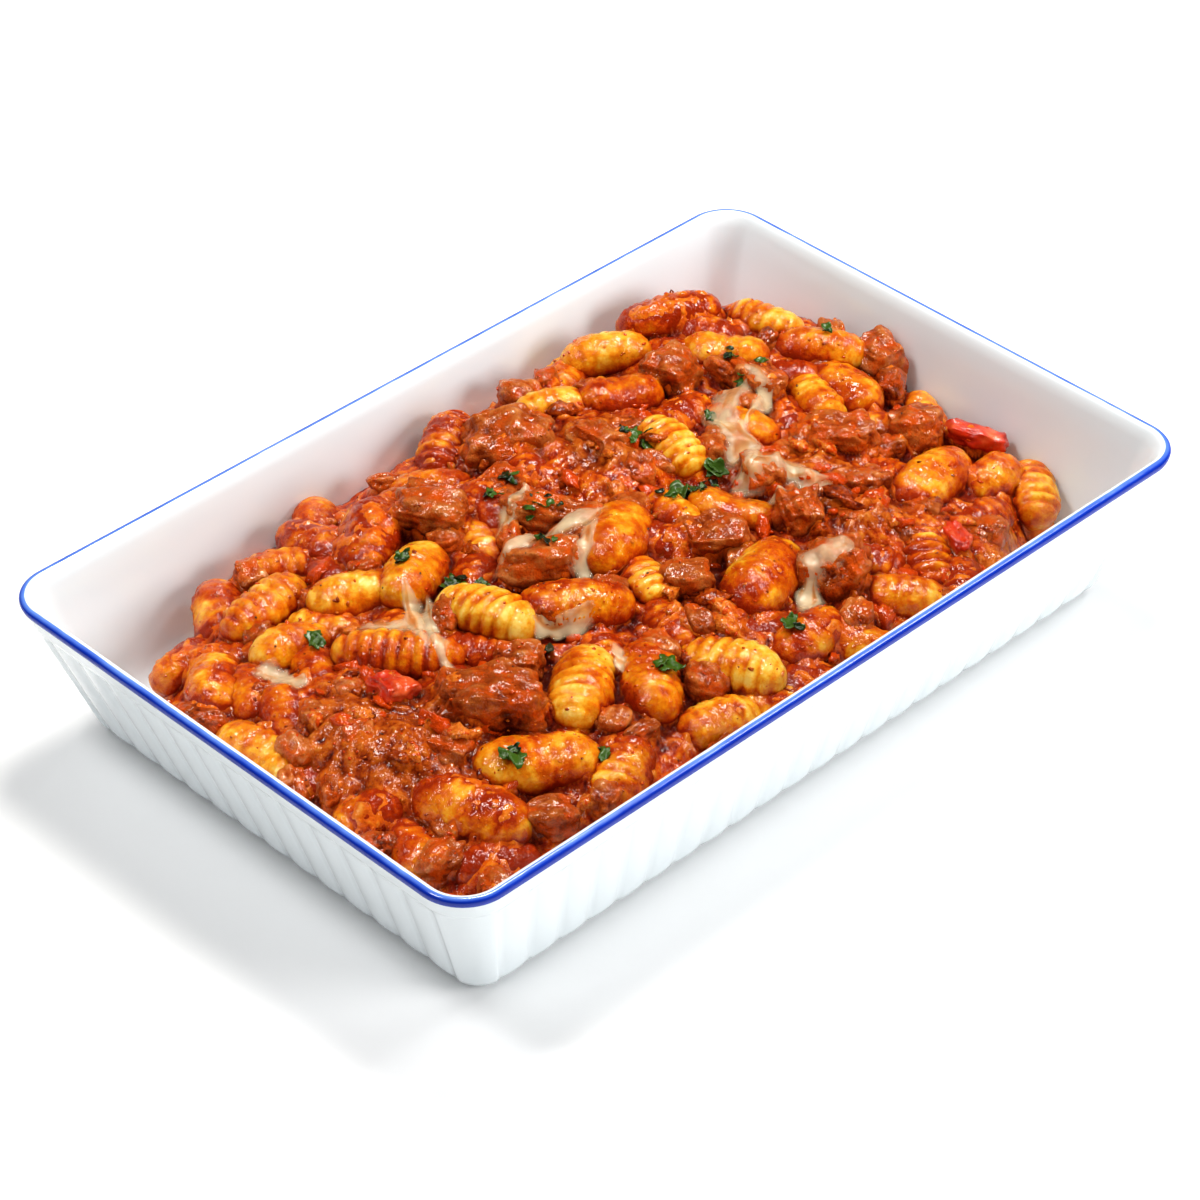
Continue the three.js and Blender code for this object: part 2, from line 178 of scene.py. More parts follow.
# %% [markdown]
# ## Dish
#
# The real dish is cast in a mould: leaning walls with shallow upright flutes, a plain
# band below the rim and a low foot ring. It could be made from four walls and bevelled
# corners, but then the flutes would have to be cut. Rolling one flat sheet round the
# outline is simpler: along the sheet run the stations of the outline, and across it runs
# the wall's section, from the middle of the base over the rim to the middle of the floor
# inside. Each station knows how much of a groove it carries.

# %% Dimensions of the dish, in millimetres
DISH_LENGTH, DISH_WIDTH = 290, 188
WIDEST = 48.4          # height of the rim's outermost edge
LEAN_X, LEAN_Y = 17.5, 13.5
CORNER_AT_RIM, CORNER_AT_BASE, SMALLEST_CORNER = 14.5, 9, 5
DISH_FLOOR = 5          # height of the floor inside
FLUTES_LONG_SIDE, FLUTES_SHORT_SIDE, FLUTE_DEPTH = 22, 13, 0.9
POINTS_A_FLUTE, CORNER_STEPS = 8, 16
CORNER_FADE = 2.4       # how soon the flutes die out as they come to a corner
MERGE = 0.0002          # points nearer than this are one
FLUTE_SQUARENESS = 2.2  # 2 is a half round, more is a flatter pad with narrower grooves


def outline_stations(flutes_long, flutes_short, points_a_flute, corner_steps):
    """Rows of angle, slide x, slide y and groove, round a rounded rectangle."""
    corners = [(1, -1), (1, 1), (-1, 1), (-1, -1)]
    rows = []
    for i, (sx, sy) in enumerate(corners):
        start = (i - 1) * math.pi / 2
        for j in range(corner_steps + 1):
            off_flute = CORNER_FADE * min(j, corner_steps - j) / corner_steps * math.pi
            rows.append((start + j / corner_steps * math.pi / 2, sx, sy,
                         max(0, 1 - off_flute) ** FLUTE_SQUARENESS))
        nx, ny = corners[(i + 1) % 4]
        flutes = flutes_short if i % 2 == 0 else flutes_long
        count = flutes * points_a_flute
        for k in range(1, count):
            t = k / count
            off_crest = abs(2 * (t * flutes % 1) - 1)
            rows.append((start + math.pi / 2, sx + (nx - sx) * t, sy + (ny - sy) * t,
                         off_crest ** FLUTE_SQUARENESS))
    return np.array(rows + rows[:1])


def wall_outline(stations, z, step, groove=0.0):
    """The leaning wall's outline at a height, drawn in by a step, in millimetres."""
    angle, slide_x, slide_y, depth = stations.T
    down = 1 - z / WIDEST
    half_x = DISH_LENGTH / 2 - LEAN_X * down - step
    half_y = DISH_WIDTH / 2 - LEAN_Y * down - step
    corner = CORNER_AT_RIM + (CORNER_AT_BASE - CORNER_AT_RIM) * down
    radius = max(corner - step, SMALLEST_CORNER)
    reach = radius - groove * FLUTE_DEPTH * depth
    return np.stack([slide_x * (half_x - radius) + reach * np.cos(angle),
                     slide_y * (half_y - radius) + reach * np.sin(angle),
                     np.full_like(angle, z)], axis=1)


# %% The wall's section: height, step inwards, share of the flutes, blue paint and painted highlight
# The blue share is 1 on the rim's outer side and falls to about a half over the crown: the lighter blue there
# is a painted highlight.
SECTION = [
    (1.0, 11, 0, 0), (0.7, 9.7, 0, 0), (0.1, 8.8, 0, 0), (0, 8.2, 0, 0), (0, 5.4, 0, 0),
    (0.2, 4.2, 0.05, 0), (0.9, 2.7, 0.25, 0), (1.9, 1.6, 0.5, 0), (3.2, 0.8, 0.8, 0),
    (5, 0.45, 1, 0), (8, 0.4, 1, 0), (15, 0.4, 1, 0), (22, 0.4, 1, 0), (29, 0.4, 1, 0),
    (35, 0.4, 1, 0), (38, 0.4, 0.97, 0), (39.4, 0.4, 0.8, 0), (40.4, 0.4, 0.45, 0),
    (41.1, 0.36, 0.15, 0), (41.6, 0.24, 0, 0), (42.1, 0.08, 0, 0), (42.8, 0, 0, 0),
    (45.5, 0, 0, 0), (47.4, 0, 0, 0), (47.75, 0, 0, 1), (48.0, 0, 0, 1), (48.4, 0.05, 0, 1),
    (48.9, 0.22, 0, 1), (49.35, 0.55, 0, 0.95), (49.7, 1.0, 0, 0.75), (49.92, 1.55, 0, 0.62),
    (50, 2.05, 0, 0.58), (49.98, 2.35, 0, 0.5), (49.92, 2.65, 0, 0), (49.65, 3.2, 0, 0),
    (49.2, 3.55, 0, 0), (48.5, 3.85, 0, 0), (47.5, 4.15, 0, 0), (46, 4.4, 0, 0),
    (40, 4.4, 0, 0), (34, 4.4, 0, 0), (28, 4.4, 0, 0), (21, 4.4, 0, 0), (14, 4.4, 0, 0),
    (11, 4.8, 0, 0), (9, 5.6, 0, 0), (7.3, 7, 0, 0), (6.2, 8.8, 0, 0), (5.4, 11, 0, 0),
    (5, 14, 0, 0),
]


def roll_sheet(name, rings, blue_and_highlight):
    """Rolls a flat sheet into a closed shell through rings of points, painted ring by ring."""
    columns, rows = len(rings[0]) - 1, len(rings) - 1
    bm = bmesh.new()
    bmesh.ops.create_grid(bm, x_segments=columns, y_segments=rows, size=1)
    paint = bm.verts.layers.float.new("blue_line_and_highlight")
    for vert in bm.verts:
        i = round((vert.co.x + 1) / 2 * columns)
        j = round((vert.co.y + 1) / 2 * rows)
        vert.co = rings[j][i]
        vert[paint] = blue_and_highlight[j]
    bmesh.ops.remove_doubles(bm, verts=bm.verts, dist=MERGE * MM)
    bmesh.ops.recalc_face_normals(bm, faces=bm.faces)
    return as_mesh(bm, name)


stations = outline_stations(FLUTES_LONG_SIDE, FLUTES_SHORT_SIDE, POINTS_A_FLUTE, CORNER_STEPS)
rings = [wall_outline(stations, z, step, flute) * MM for z, step, flute, _ in SECTION]
base_middle = np.tile([0, 0, SECTION[0][0] * MM], (len(stations), 1))
floor_middle = np.tile([0, 0, SECTION[-1][0] * MM], (len(stations), 1))
rim_blue_and_highlight = [0, *[row[3] for row in SECTION], 0]
dish_mesh = roll_sheet("dish_shell", [base_middle, *rings, floor_middle], rim_blue_and_highlight)
print("dish:", len(dish_mesh.polygons), "faces")


# %% Helpers that put a mesh into the scene
def set_attribute(mesh, name, values):
    """Stores one number for each point of a mesh, for its material to read."""
    attribute = mesh.attributes.new(name, "FLOAT", "POINT")
    attribute.data.foreach_set("value", np.asarray(values, np.float32))


def serve(name, mesh, material, slot, *nodes):
    """Makes a smooth piece that rides on the dish's body and stands for the solids."""
    for polygon in mesh.polygons:
        polygon.use_smooth = True
    mesh.materials.append(material)
    piece = bpy.data.objects.new(name, mesh)
    bpy.context.scene.collection.objects.link(piece)
    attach(piece, "root")
    if nodes:
        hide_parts(*nodes)
    triangles = sum(len(p.vertices) - 2 for p in mesh.polygons)
    heights = [v.co.z / MM for v in mesh.vertices]
    print(f"{name}: {triangles} triangles, from {min(heights):.1f} to {max(heights):.1f} mm high")
    return piece


# %% Helpers for small things that are copied
def ball_of(around, along):
    """A ball of radius 1 to copy, with so many faces around and along."""
    bm = bmesh.new()
    bmesh.ops.create_uvsphere(bm, u_segments=around, v_segments=along, radius=1)
    return as_mesh(bm, "ball")


def pebble_of(subdivisions):
    """A ball of radius 1 made of triangles of one size, to copy."""
    bm = bmesh.new()
    bmesh.ops.create_icosphere(bm, subdivisions=subdivisions, radius=1)
    return as_mesh(bm, "pebble")


def grid_of(along, across):
    """A flat grid of half size 1 to copy."""
    bm = bmesh.new()
    bmesh.ops.create_grid(bm, x_segments=along, y_segments=across, size=1)
    return as_mesh(bm, "grid")


def raw_points(mesh):
    """A template's points as rows, in its own units."""
    flat = np.empty(len(mesh.vertices) * 3)
    mesh.vertices.foreach_get("co", flat)
    return flat.reshape(-1, 3)


def copies(name, template, placed, shell=None):
    """One mesh of copies of a template, each moved to its own points in millimetres."""
    bm = bmesh.new()
    for _ in placed:
        bm.from_mesh(template)
    mesh = as_mesh(bm, name)
    mesh.vertices.foreach_set("co", (np.concatenate(placed) * MM).ravel())
    mesh.update()
    if shell:
        bm = bmesh.new()
        bm.from_mesh(mesh)
        bmesh.ops.solidify(bm, geom=bm.faces, thickness=shell * MM)
        mesh = as_mesh(bm, name)
    return mesh


def points_of(mesh):
    """A mesh's points as rows, in millimetres."""
    return raw_points(mesh) / MM


# %% [markdown]
# ### Glazed porcelain
#
# Porcelain is white clay under a clear fired glaze, so it is a smooth, slightly cool
# white with a mirror-like but not very strong shine: an index of refraction of 1.5 and a
# low roughness. The blue line was painted by hand on the rim, and the glaze pulls the
# colour thinner at its inner edge, so it is lighter there. It is drawn deep blue on the
# rim's outer side and lighter blue over the crown, where the lighter blue is a painted
# highlight of the light above. The rings of the wall's section carry how much blue and
# painted highlight is on them in an attribute, and noise as coarse as a brush's strokes
# makes the line uneven.

# %% Make the porcelain
BRUSH_STROKES = 0.9     # in 10 mm: how unevenly the blue line was painted

porcelain, tree = new_material("glazed_porcelain")
where = add_node(tree, "TexCoord", out="Object")
brush = add_node(tree, "TexNoise", {"Vector": where, "Scale": scale_of(BRUSH_STROKES), "Detail": 2.0})
line = add_node(tree, "Attribute", out="Fac", attribute_name="blue_line_and_highlight")
uneven = add_node(tree, "Math", {0: brush, 1: 0.35}, operation="MULTIPLY")
edge = add_node(tree, "Math", {0: line, 1: uneven}, operation="SUBTRACT")
# Deep blue where the share is full, lighter blue over the crown as a painted highlight, and white beyond.
tint = add_node(tree, "ValToRGB", {"Fac": edge}, stops=[
    (0.22, "E8EFF2"), (0.34, "6C92E2"), (0.62, "1B3FB4"), (0.85, "12309F")])
finish_material(tree, {"Base Color": tint, "Roughness": 0.12, "IOR": 1.5})
serve("porcelain_dish", dish_mesh, porcelain, "porcelain", "dish")

# %% [markdown]
# ## Where the food lies
#
# The heap is highest in the middle and runs down to the walls. Every piece of food is
# placed by its middle and its turn, as a cook would lay it, and sinks into the heap by a
# few millimetres. The same numbers place the solids, so the pieces made here lie in the
# same room. The sauce falls towards the walls, and leaves two corners of the dish bare.

# %% Dimensions of the heap, in millimetres
HEAP_EDGE, HEAP_CROWN, HEAP_REACH_X, HEAP_REACH_Y = 34, 12, 142, 92
HEAP_SWELLS = [  # height, from and to along x, from and to along y
    (7, -70, 50, -10, 60), (4, 60, 130, -20, 20), (-5, -60, -120, 20, 70), (-4, 60, 130, -15, -55),
]
SAUCE_MOUNDS = [  # x, y, height, radius of minced beef between the gnocchi
    (-104, -4, 7, 20), (-88, -27, 5, 14), (30, 30, 6, 18), (92, -62, 4, 16), (-2, -44, 4, 14),
    (66, -38, 5, 16), (-50, -56, 3, 12), (70, -14, 5, 18), (-108, -26, 5, 16),
]
BED_DEPTH = 7.8        # how far the sauce's bed lies below the heap's top
BANK_DROP, BANK_START, BANK_REACH_X, BANK_REACH_Y = 6, 0.8, 137, 87
BARE_CORNERS, BARE_FALL, BARE_START, BARE_END = [(-1, 1), (1, -1)], 30, 1.33, 1.6
BACK_FALL, BACK_START, BACK_END = 16, 1.42, 1.75
HIGHEST_FOOD = 49.6    # nothing reaches over the rim's top


# %% The heap's height, and noise for shapes
def smooth_step(start, end, value):
    """Rises smoothly from 0 at start to 1 at end."""
    t = np.clip((value - start) / (end - start), 0, 1)
    return t * t * (3 - 2 * t)


def heap_top(x, y):
    """Height of the heap's top over the table."""
    crown = np.maximum(0, 1 - (x / HEAP_REACH_X) ** 2) * np.maximum(0, 1 - (y / HEAP_REACH_Y) ** 2)
    top = HEAP_EDGE + HEAP_CROWN * crown
    for height, x0, x1, y0, y1 in HEAP_SWELLS:
        top = top + height * smooth_step(x0, x1, x) * smooth_step(y0, y1, y)
    return top


def mound_height(x, y):
    """How far the mounds of minced beef rise over the bed of sauce."""
    return sum(h * np.exp(-((x - mx) ** 2 + (y - my) ** 2) / r ** 2) for mx, my, h, r in SAUCE_MOUNDS)


def towards_corner(x, y, start, end):
    """Rises from 0 to 1 along the diagonal to the back right corner of the dish."""
    return smooth_step(start, end, 2 * (x / DISH_LENGTH + y / DISH_WIDTH))


def sauce_fall(x, y):
    """How far the sauce falls towards the walls, and in the corners that it leaves bare."""
    to_wall = np.maximum(abs(x) / BANK_REACH_X, abs(y) / BANK_REACH_Y)
    fall = BANK_DROP * smooth_step(BANK_START, 1, to_wall)
    for sx, sy in BARE_CORNERS:
        fall = fall + BARE_FALL * towards_corner(sx * x, sy * y, BARE_START, BARE_END)
    return fall + BACK_FALL * towards_corner(x, y, BACK_START, BACK_END)


def grain(points, size, seed=0.0):
    """Smooth noise of about -1 to 1 with grains of one size in millimetres."""
    return np.array([noise.noise(p) for p in (points / size + seed).tolist()])


def place_lying(points, x, y, z, turn, tilt=0.0, roll=0.0):
    """Rolls and tilts points, turns them and moves them into place, under the highest food."""
    spin = Matrix.Rotation(turn, 3, "Z") @ Matrix.Rotation(tilt, 3, "Y") @ Matrix.Rotation(roll, 3, "X")
    placed = points @ np.array(spin).T + [x, y, z]
    placed[:, 2] -= max(0, placed[:, 2].max() - HIGHEST_FOOD)
    return placed


# %% [markdown]
# ## Gnocchi
#
# A gnocco is a barrel of potato dough, pressed on one side with a thumb and rolled over
# a ridged board, so ridges run round its back. A stretched ball would look like an egg.
# Here a ball is drawn out along a blunt barrel's profile instead, then ridged, bent a
# little and made uneven by noise, each in its own way. Three kinds are made: pale ones
# whose ridges show, ones that the sauce has coated, and ones that lie half buried in the
# gaps between the others.

# %% Where each gnocco lies
# x, y, turn, length, width, extra sink, dent, ridges, sauce on it, depth of colour
GNOCCHI = [
    (95, 70, 153, 34, 17, 0, 0, 0.3, 0.9, 0.75), (67, 69, 150, 29, 17, 0, 0, 0.3, 0.1, 0.3),
    (92, 43, 127, 28, 16, 1, 0, 0.4, 0.3, 0.4), (36, 59, 150, 26, 16, 2, 0, 0.4, 0.3, 0.35),
    (53, 49, 144, 27, 17, 1, 1, 0.4, 0.5, 0.6), (46, 20, 78, 28, 16, 0, 0, 1.0, 0.1, 0.12),
    (115, 48, 100, 26, 15, 2, 0, 1.0, 0.1, 0.25), (116, 26, 127, 30, 16, 0, 0, 0.3, 0.3, 0.45),
    (109, 9, 87, 28, 17, 1, 0, 0.2, 0.5, 0.7), (98, 11, 69, 26, 16, 2, 0, 0.6, 0.2, 0.3),
    (96, -37, 8, 35, 18, 0, 0, 0.2, 0.35, 0.5), (114, -45, 0, 24, 17, 1, 0, 0.3, 0.5, 0.4),
    (122, -55, 49, 27, 15, 2, 0, 1.0, 0.3, 0.35), (69, -60, 56, 28, 16, 3, 0, 1.0, 0.4, 0.5),
    (51, -67, 131, 28, 16, 3, 0, 0.4, 0.4, 0.4), (40, -11, 114, 29, 15, 2, 1, 0.2, 0.1, 0.3),
    (25, 0, 85, 27, 15, 3, 0, 0.5, 0.3, 0.25), (3, 0, 28, 34, 19, 0, 0, 0.1, 0.35, 0.5),
    (22, -40, 20, 36, 20, 0, 0, 0.1, 0.6, 0.6), (16, -63, 7, 28, 17, 2, 0, 0.4, 0.6, 0.5),
    (-11, -59, 112, 33, 18, 0, 0, 0.9, 0.2, 0.15), (-12, 36, 76, 28, 16, 2, 0, 0.2, 0.8, 0.8),
    (3, 72, 32, 30, 16, 1, 0, 0.9, 0.6, 0.7), (-14, 60, 142, 26, 15, 3, 0, 0.3, 0.3, 0.4),
    (-44, 53, 41, 34, 19, 0, 0, 0.1, 1.0, 0.85), (-54, 66, 89, 26, 16, 1, 0, 0.2, 0.8, 0.8),
    (-48, 30, 26, 30, 18, 0, 0, 0.3, 0.2, 0.35), (-46, 2, 104, 32, 19, 0, 0, 1.2, 0.1, 0.15),
    (-26, -13, 137, 34, 18, 0, 0, 0.3, 0.7, 0.6), (-74, 8, 128, 38, 17, 0, 0, 1.2, 0.3, 0.4),
    (-48, -38, 37, 34, 19, 0, 0, 1.0, 0.3, 0.3), (-31, -48, 50, 35, 18, 1, 0, 0.4, 0.4, 0.5),
    (-76, -50, 145, 36, 20, 0, 1, 0.2, 0.4, 0.4), (-101, -51, 105, 36, 20, 0, 0, 0.3, 0.7, 0.5),
    (-60, -66, 30, 32, 17, 2, 0, 0.6, 0.6, 0.5), (-27, -70, 168, 26, 16, 2, 0, 0.5, 0.3, 0.3),
    (-120, -31, 170, 22, 15, 1, 0, 0.2, 0.8, 0.8), (-119, -47, 65, 24, 14, 3, 0, 0.3, 0.5, 0.5),
    (-107, -66, 154, 26, 15, 4, 0, 0.3, 0.7, 0.6), (-83, 54, 8, 32, 17, 0, 0, 0.8, 0.3, 0.4),
    (-65, 66, 147, 26, 15, 2, 0, 0.8, 0.3, 0.4), (-90, 66, 54, 29, 16, 2, 0, 0.2, 0.6, 0.65),
    (-64, 37, 149, 28, 17, 1, 0, 0.2, 0.3, 0.3), (-113, 40, 47, 27, 17, 1, 0, 0.3, 0.6, 0.6),
    (-109, 58, 10, 24, 15, 3, 0, 0.2, 0.9, 0.8), (-123, 9, 93, 30, 16, 2, 0, 0.5, 0.3, 0.35),
    (-110, 14, 62, 28, 15, 2, 0, 0.4, 0.5, 0.45), (-90, 35, 173, 26, 16, 1, 0, 0.3, 0.4, 0.4),
    (-3, -17, 75, 24, 15, 2, 0, 1.0, 0.4, 0.3), (125, -9, 63, 22, 12, 3, 0, 0.4, 0.2, 0.3),
    (70, 16, 100, 28, 16, 2, 0, 0.2, 0.5, 0.5), (-109, 30, 55, 24, 14, 2, 0, 0.3, 0.4, 0.5),
]
print("gnocchi placed by hand:", len(GNOCCHI))

# %% The shape of a gnocco, in millimetres
GNOCCO_SINK, GNOCCO_FLATNESS = 7, 0.88
BARREL_BLUNTNESS, BARREL_ROUNDNESS = 2.9, 0.45
RIDGE_PITCH = 3.9      # from ridge to ridge, in millimetres
RIDGE_DEPTH = 0.8
DENT_DEPTH = 0.3
LUMP, DIMPLE, FLAKE = 11, 4, 2.6  # sizes of what makes a gnocco uneven
SHAPE_SEED, LYING_SEED = 100, 500


def draw_out_gnocco(ball, index, length, width, dent, ridges, sauce):
    """Draws a unit ball out into one gnocco along x, lumpy where sauce coats it."""
    rng = random.Random(SHAPE_SEED + index)
    along = ball[:, 2]
    ring = ball[:, :2] / np.maximum(np.linalg.norm(ball[:, :2], axis=1), 1e-6)[:, None]
    profile = (1 - np.abs(along) ** BARREL_BLUNTNESS) ** BARREL_ROUNDNESS
    x = along * length / 2
    bow = rng.uniform(-0.9, 0.9) * ring[:, 0]
    wave = 0.5 - 0.5 * np.cos(2 * math.pi * (x + bow) / RIDGE_PITCH + rng.uniform(0, 6))
    fade = smooth_step(1.0, 0.72, np.abs(along)) * smooth_step(-0.7, 0.1, ring[:, 1])
    full_size = ball * [width / 2, width / 2, length / 2]
    worn = np.clip(0.9 + 1.1 * grain(full_size, 9, index * 1.3), 0.1, 1.3)
    groove = ridges * RIDGE_DEPTH * wave ** 2 * fade * worn
    radius = profile * width / 2 - groove
    rough = np.stack([x, ring[:, 0] * radius, ring[:, 1] * radius], axis=1)
    lumps = 0.1 * grain(rough, LUMP, index * 7.3) + 0.035 * grain(rough, DIMPLE, index * 3.1)
    flakes = 1.7 * np.abs(grain(rough, FLAKE, index * 2.9)) - 0.3
    radius = radius * (1 + lumps)
    radius = radius + (0.15 + 0.6 * sauce) * profile * flakes
    up = ring[:, 1] * radius
    press = dent * DENT_DEPTH * np.exp(-((along / 0.45) ** 2)) * np.maximum(0, up)
    bend = rng.uniform(-1.3, 1.3) * (along ** 2 - 0.3)
    points = np.stack([x, ring[:, 0] * radius + bend, (up - press) * GNOCCO_FLATNESS], axis=1)
    return points, groove / RIDGE_DEPTH


# %% Lay the gnocchi
GNOCCO_AROUND, GNOCCO_ALONG = 44, 60
RIDGED = 0.6  # a gnocco whose ridges are at least so clear counts as a pale one


def lay_gnocchi(name, rows, around, along):
    """One mesh of numbered gnocchi, with each point's groove, tone and sauce."""
    template = ball_of(around, along)
    ball = raw_points(template)
    placed, facts = [], []
    for index, (x, y, turn, length, width, sink, dent, ridges, sauce, tone) in rows:
        rng = random.Random(LYING_SEED + index)
        points, groove = draw_out_gnocco(ball, index, length, width, dent, ridges, sauce)
        z = heap_top(x, y) - GNOCCO_SINK - sink
        placed.append(place_lying(points, x, y, z, math.radians(turn),
                                  math.radians(rng.uniform(-5, 5)), math.radians(rng.uniform(-20, 20))))
        facts.append(np.stack([groove, np.full(len(groove), tone), np.full(len(groove), sauce)], axis=1))
    print(name, len(placed), "gnocchi")
    return copies(name, template, placed), np.concatenate(facts)


pale = [(i, row) for i, row in enumerate(GNOCCHI) if row[7] >= RIDGED]
sauced = [(i, row) for i, row in enumerate(GNOCCHI) if row[7] < RIDGED]
pale_mesh, pale_facts = lay_gnocchi("pale_gnocchi", pale, GNOCCO_AROUND, GNOCCO_ALONG)
sauced_mesh, sauced_facts = lay_gnocchi("sauced_gnocchi", sauced, GNOCCO_AROUND, GNOCCO_ALONG)

# %% [markdown]
# ## Beef and tomato
#
# The beef was cut in cubes and has braised until it began to fall apart, so its corners
# are round and its fibres open into clefts. A cube is cut fine, drawn part of the way to
# a ball, and pushed in along stretched noise whose grains are long in the direction of
# the fibres. How far a point stands out is kept, because its colour depends on it: it is
# drawn lighter where it stands out and darker in the clefts, as painted light and shade.
# The tomato is cut the same way.

# %% Where the beef and the tomato lie
BEEF = [  # x, y, turn, length, width, height, extra sink, browning
    (13, 57, 140, 27, 20, 16, 0, 0.5), (-26, 45, 120, 23, 19, 15, 0, 0.6), (71, 46, 100, 19, 17, 14, 0, 0.5),
    (-4, 20, 115, 31, 15, 13, 0, 0.3), (-21, 6, 125, 20, 15, 13, 0, 0.4), (23, -20, 140, 20, 15, 12, 0, 0.5),
    (50, -27, 60, 16, 15, 14, 0, 0.4), (40, -51, 35, 20, 20, 17, 0, 0.5), (110, -18, 130, 17, 16, 14, 0, 0.5),
    (128, 13, 80, 15, 14, 13, 0, 0.5), (89, -9, 135, 21, 16, 14, 0, 0.3), (-72, -27, 130, 30, 21, 17, 0, 0.9),
    (77, -30, 150, 15, 13, 11, 0, 0.4), (56, -7, 60, 15, 13, 11, 0, 0.4), (-91, -31, 110, 14, 12, 10, 0, 0.6),
    (-88, -68, 150, 15, 13, 11, 2, 0.8), (30, 34, 90, 18, 14, 11, 0, 0.3),
    (-104, -10, 20, 18, 14, 12, 0, 0.5),
    (88, 25, 70, 20, 14, 12, 0, 0.2), (5, -27, 140, 15, 12, 10, 1, 0.5),
    (-54, -19, 130, 14, 11, 9, 1, 0.6),
]
BEEF_BITS = [  # x, y, turn, length, width, height, extra sink, browning
    (121, 2, 35, 11, 9, 8, 0, 0.9), (43, 71, 40, 10, 8, 7, 0, 0.7), (-6, -42, 70, 12, 7, 6, 0, 0.9),
    (31, -68, 34, 11, 10, 8, 0, 0.4), (-101, -23, 60, 11, 7, 6, -1, 0.9), (-50, -53, 36, 11, 9, 7, 1, 0.3),
    (62, -37, 20, 10, 9, 8, 0, 0.4), (-105, 2, 130, 16, 12, 9, 0, 0.5), (-104, -14, 40, 13, 10, 8, -1, 0.6),
    (-118, 0, 80, 11, 10, 8, 0, 0.5), (29, 17, 50, 13, 10, 8, 0, 0.4), (91, -64, 15, 13, 10, 8, 1, 0.4),
]
TOMATO = [
    (-88, -5, 80, 13, 11, 6, -4, 0), (124, -31, 120, 19, 8, 6, -1, 0), (80, -62, 60, 16, 7, 6, 0, 0),
]
print("beef:", len(BEEF), "and", len(BEEF_BITS), "bits, tomato:", len(TOMATO))

# %% Carve the beef and the tomato, in millimetres
LUMP_SINK = 5
BULGE, NOTCH = 10, 4.6              # sizes of what makes a lump uneven
FIBRE, FIBRE_STRETCH = 2.6, 2.6     # width of a bundle of fibres, and its length over that
STRAND, STRAND_STRETCH = 1.3, 2


def carve_lump(cube, index, length, width, height, roundness, cleft):
    """Carves a lump from a finely cut cube of half size 1, and tells how far points stand out."""
    ball = cube / np.linalg.norm(cube, axis=1)[:, None]
    points = (cube + (ball - cube) * roundness) * [length / 2, width / 2, height / 2]
    uneven = 1 + 0.34 * grain(points, BULGE, index * 5.7) + 0.2 * grain(points, NOTCH, index * 2.3)
    fibre_relief = grain(points / [FIBRE_STRETCH, 1, 1], FIBRE, index * 1.9)
    fine = grain(points / [STRAND_STRETCH, 1, 1], STRAND, index * 4.1)
    depth = cleft * (2.2 * np.abs(fibre_relief) - 0.5 + 0.7 * fine)
    return points * uneven[:, None] + ball * depth[:, None], 1.2 * (uneven - 1) + 0.6 * depth


def cube_of(cuts):
    """A finely cut cube of half size 1 to copy."""
    bm = bmesh.new()
    bmesh.ops.create_cube(bm, size=2)
    bmesh.ops.subdivide_edges(bm, edges=bm.edges, cuts=cuts, use_grid_fill=True)
    return as_mesh(bm, "cube")


def make_lumps(name, rows, cuts, roundness, cleft, seed):
    """A mesh of lumps, with how far each point stands out and its browning."""
    template = cube_of(cuts)
    cube = raw_points(template)
    placed, facts = [], []
    for index, (x, y, turn, length, width, height, sink, browning) in enumerate(rows):
        rng = random.Random(seed + index)
        points, fibre_relief = carve_lump(cube, seed + index, length, width, height, roundness, cleft)
        z = float(heap_top(x, y)) - LUMP_SINK - sink
        placed.append(place_lying(points, x, y, z, math.radians(turn),
                                  math.radians(rng.uniform(-8, 8)), math.radians(rng.uniform(-12, 12))))
        # How far each point stands out, which the beef's colour uses for painted light and shade.
        facts.append(np.stack([fibre_relief, np.full(len(cube), browning)], axis=1))
    print(name, len(rows), "pieces of", len(cube), "points")
    return copies(name, template, placed), np.concatenate(facts)


beef_mesh, beef_facts = make_lumps("beef", BEEF, cuts=22, roundness=0.6, cleft=0.55, seed=900)
bits_mesh, bits_facts = make_lumps("beef_bits", BEEF_BITS, cuts=13, roundness=0.7, cleft=0.5, seed=1900)
tomato_mesh, _ = make_lumps("tomato", TOMATO, cuts=11, roundness=0.55, cleft=0.9, seed=2900)

# %% [markdown]
# ### What lies deeper in the gaps
#
# Between the pieces on top, more gnocchi and beef show with only their backs out of the
# sauce. A seeded draw proposes places, and one is kept where it has enough room from the
# middle of every other piece and where there is sauce to lie in.

# %% Find room in the gaps
TRIES = 9000
GAP_REACH_X, GAP_REACH_Y = 124, 76
CORNER_LIMIT = 1.55     # how far into the back right corner a piece may lie


def fill_gaps(count, seed, taken, room, reach_x=GAP_REACH_X, reach_y=GAP_REACH_Y):
    """Seeded places in the gaps, no nearer than some room to the middle of any other piece."""
    rng = random.Random(seed)
    found = []
    for _ in range(TRIES):
        x, y = rng.uniform(-reach_x, reach_x), rng.uniform(-reach_y, reach_y)
        in_back_corner = x / reach_x + y / reach_y > CORNER_LIMIT
        on_sauce = sauce_fall(1.1 * x, 1.1 * y) < BANK_DROP + 0.5 and not in_back_corner
        is_free = all(math.hypot(x - a, y - b) > room for a, b in taken + found)
        if len(found) < count and on_sauce and is_free:
            found.append((x, y))
    return found


# %% Lay the lower gnocchi and the lower beef
LOWER_GNOCCHI, LOWER_BEEF, LOWER_SINK = 34, 50, 3.2
FIRST_LOWER = 700       # the lower gnocchi are numbered from here, for their seeds

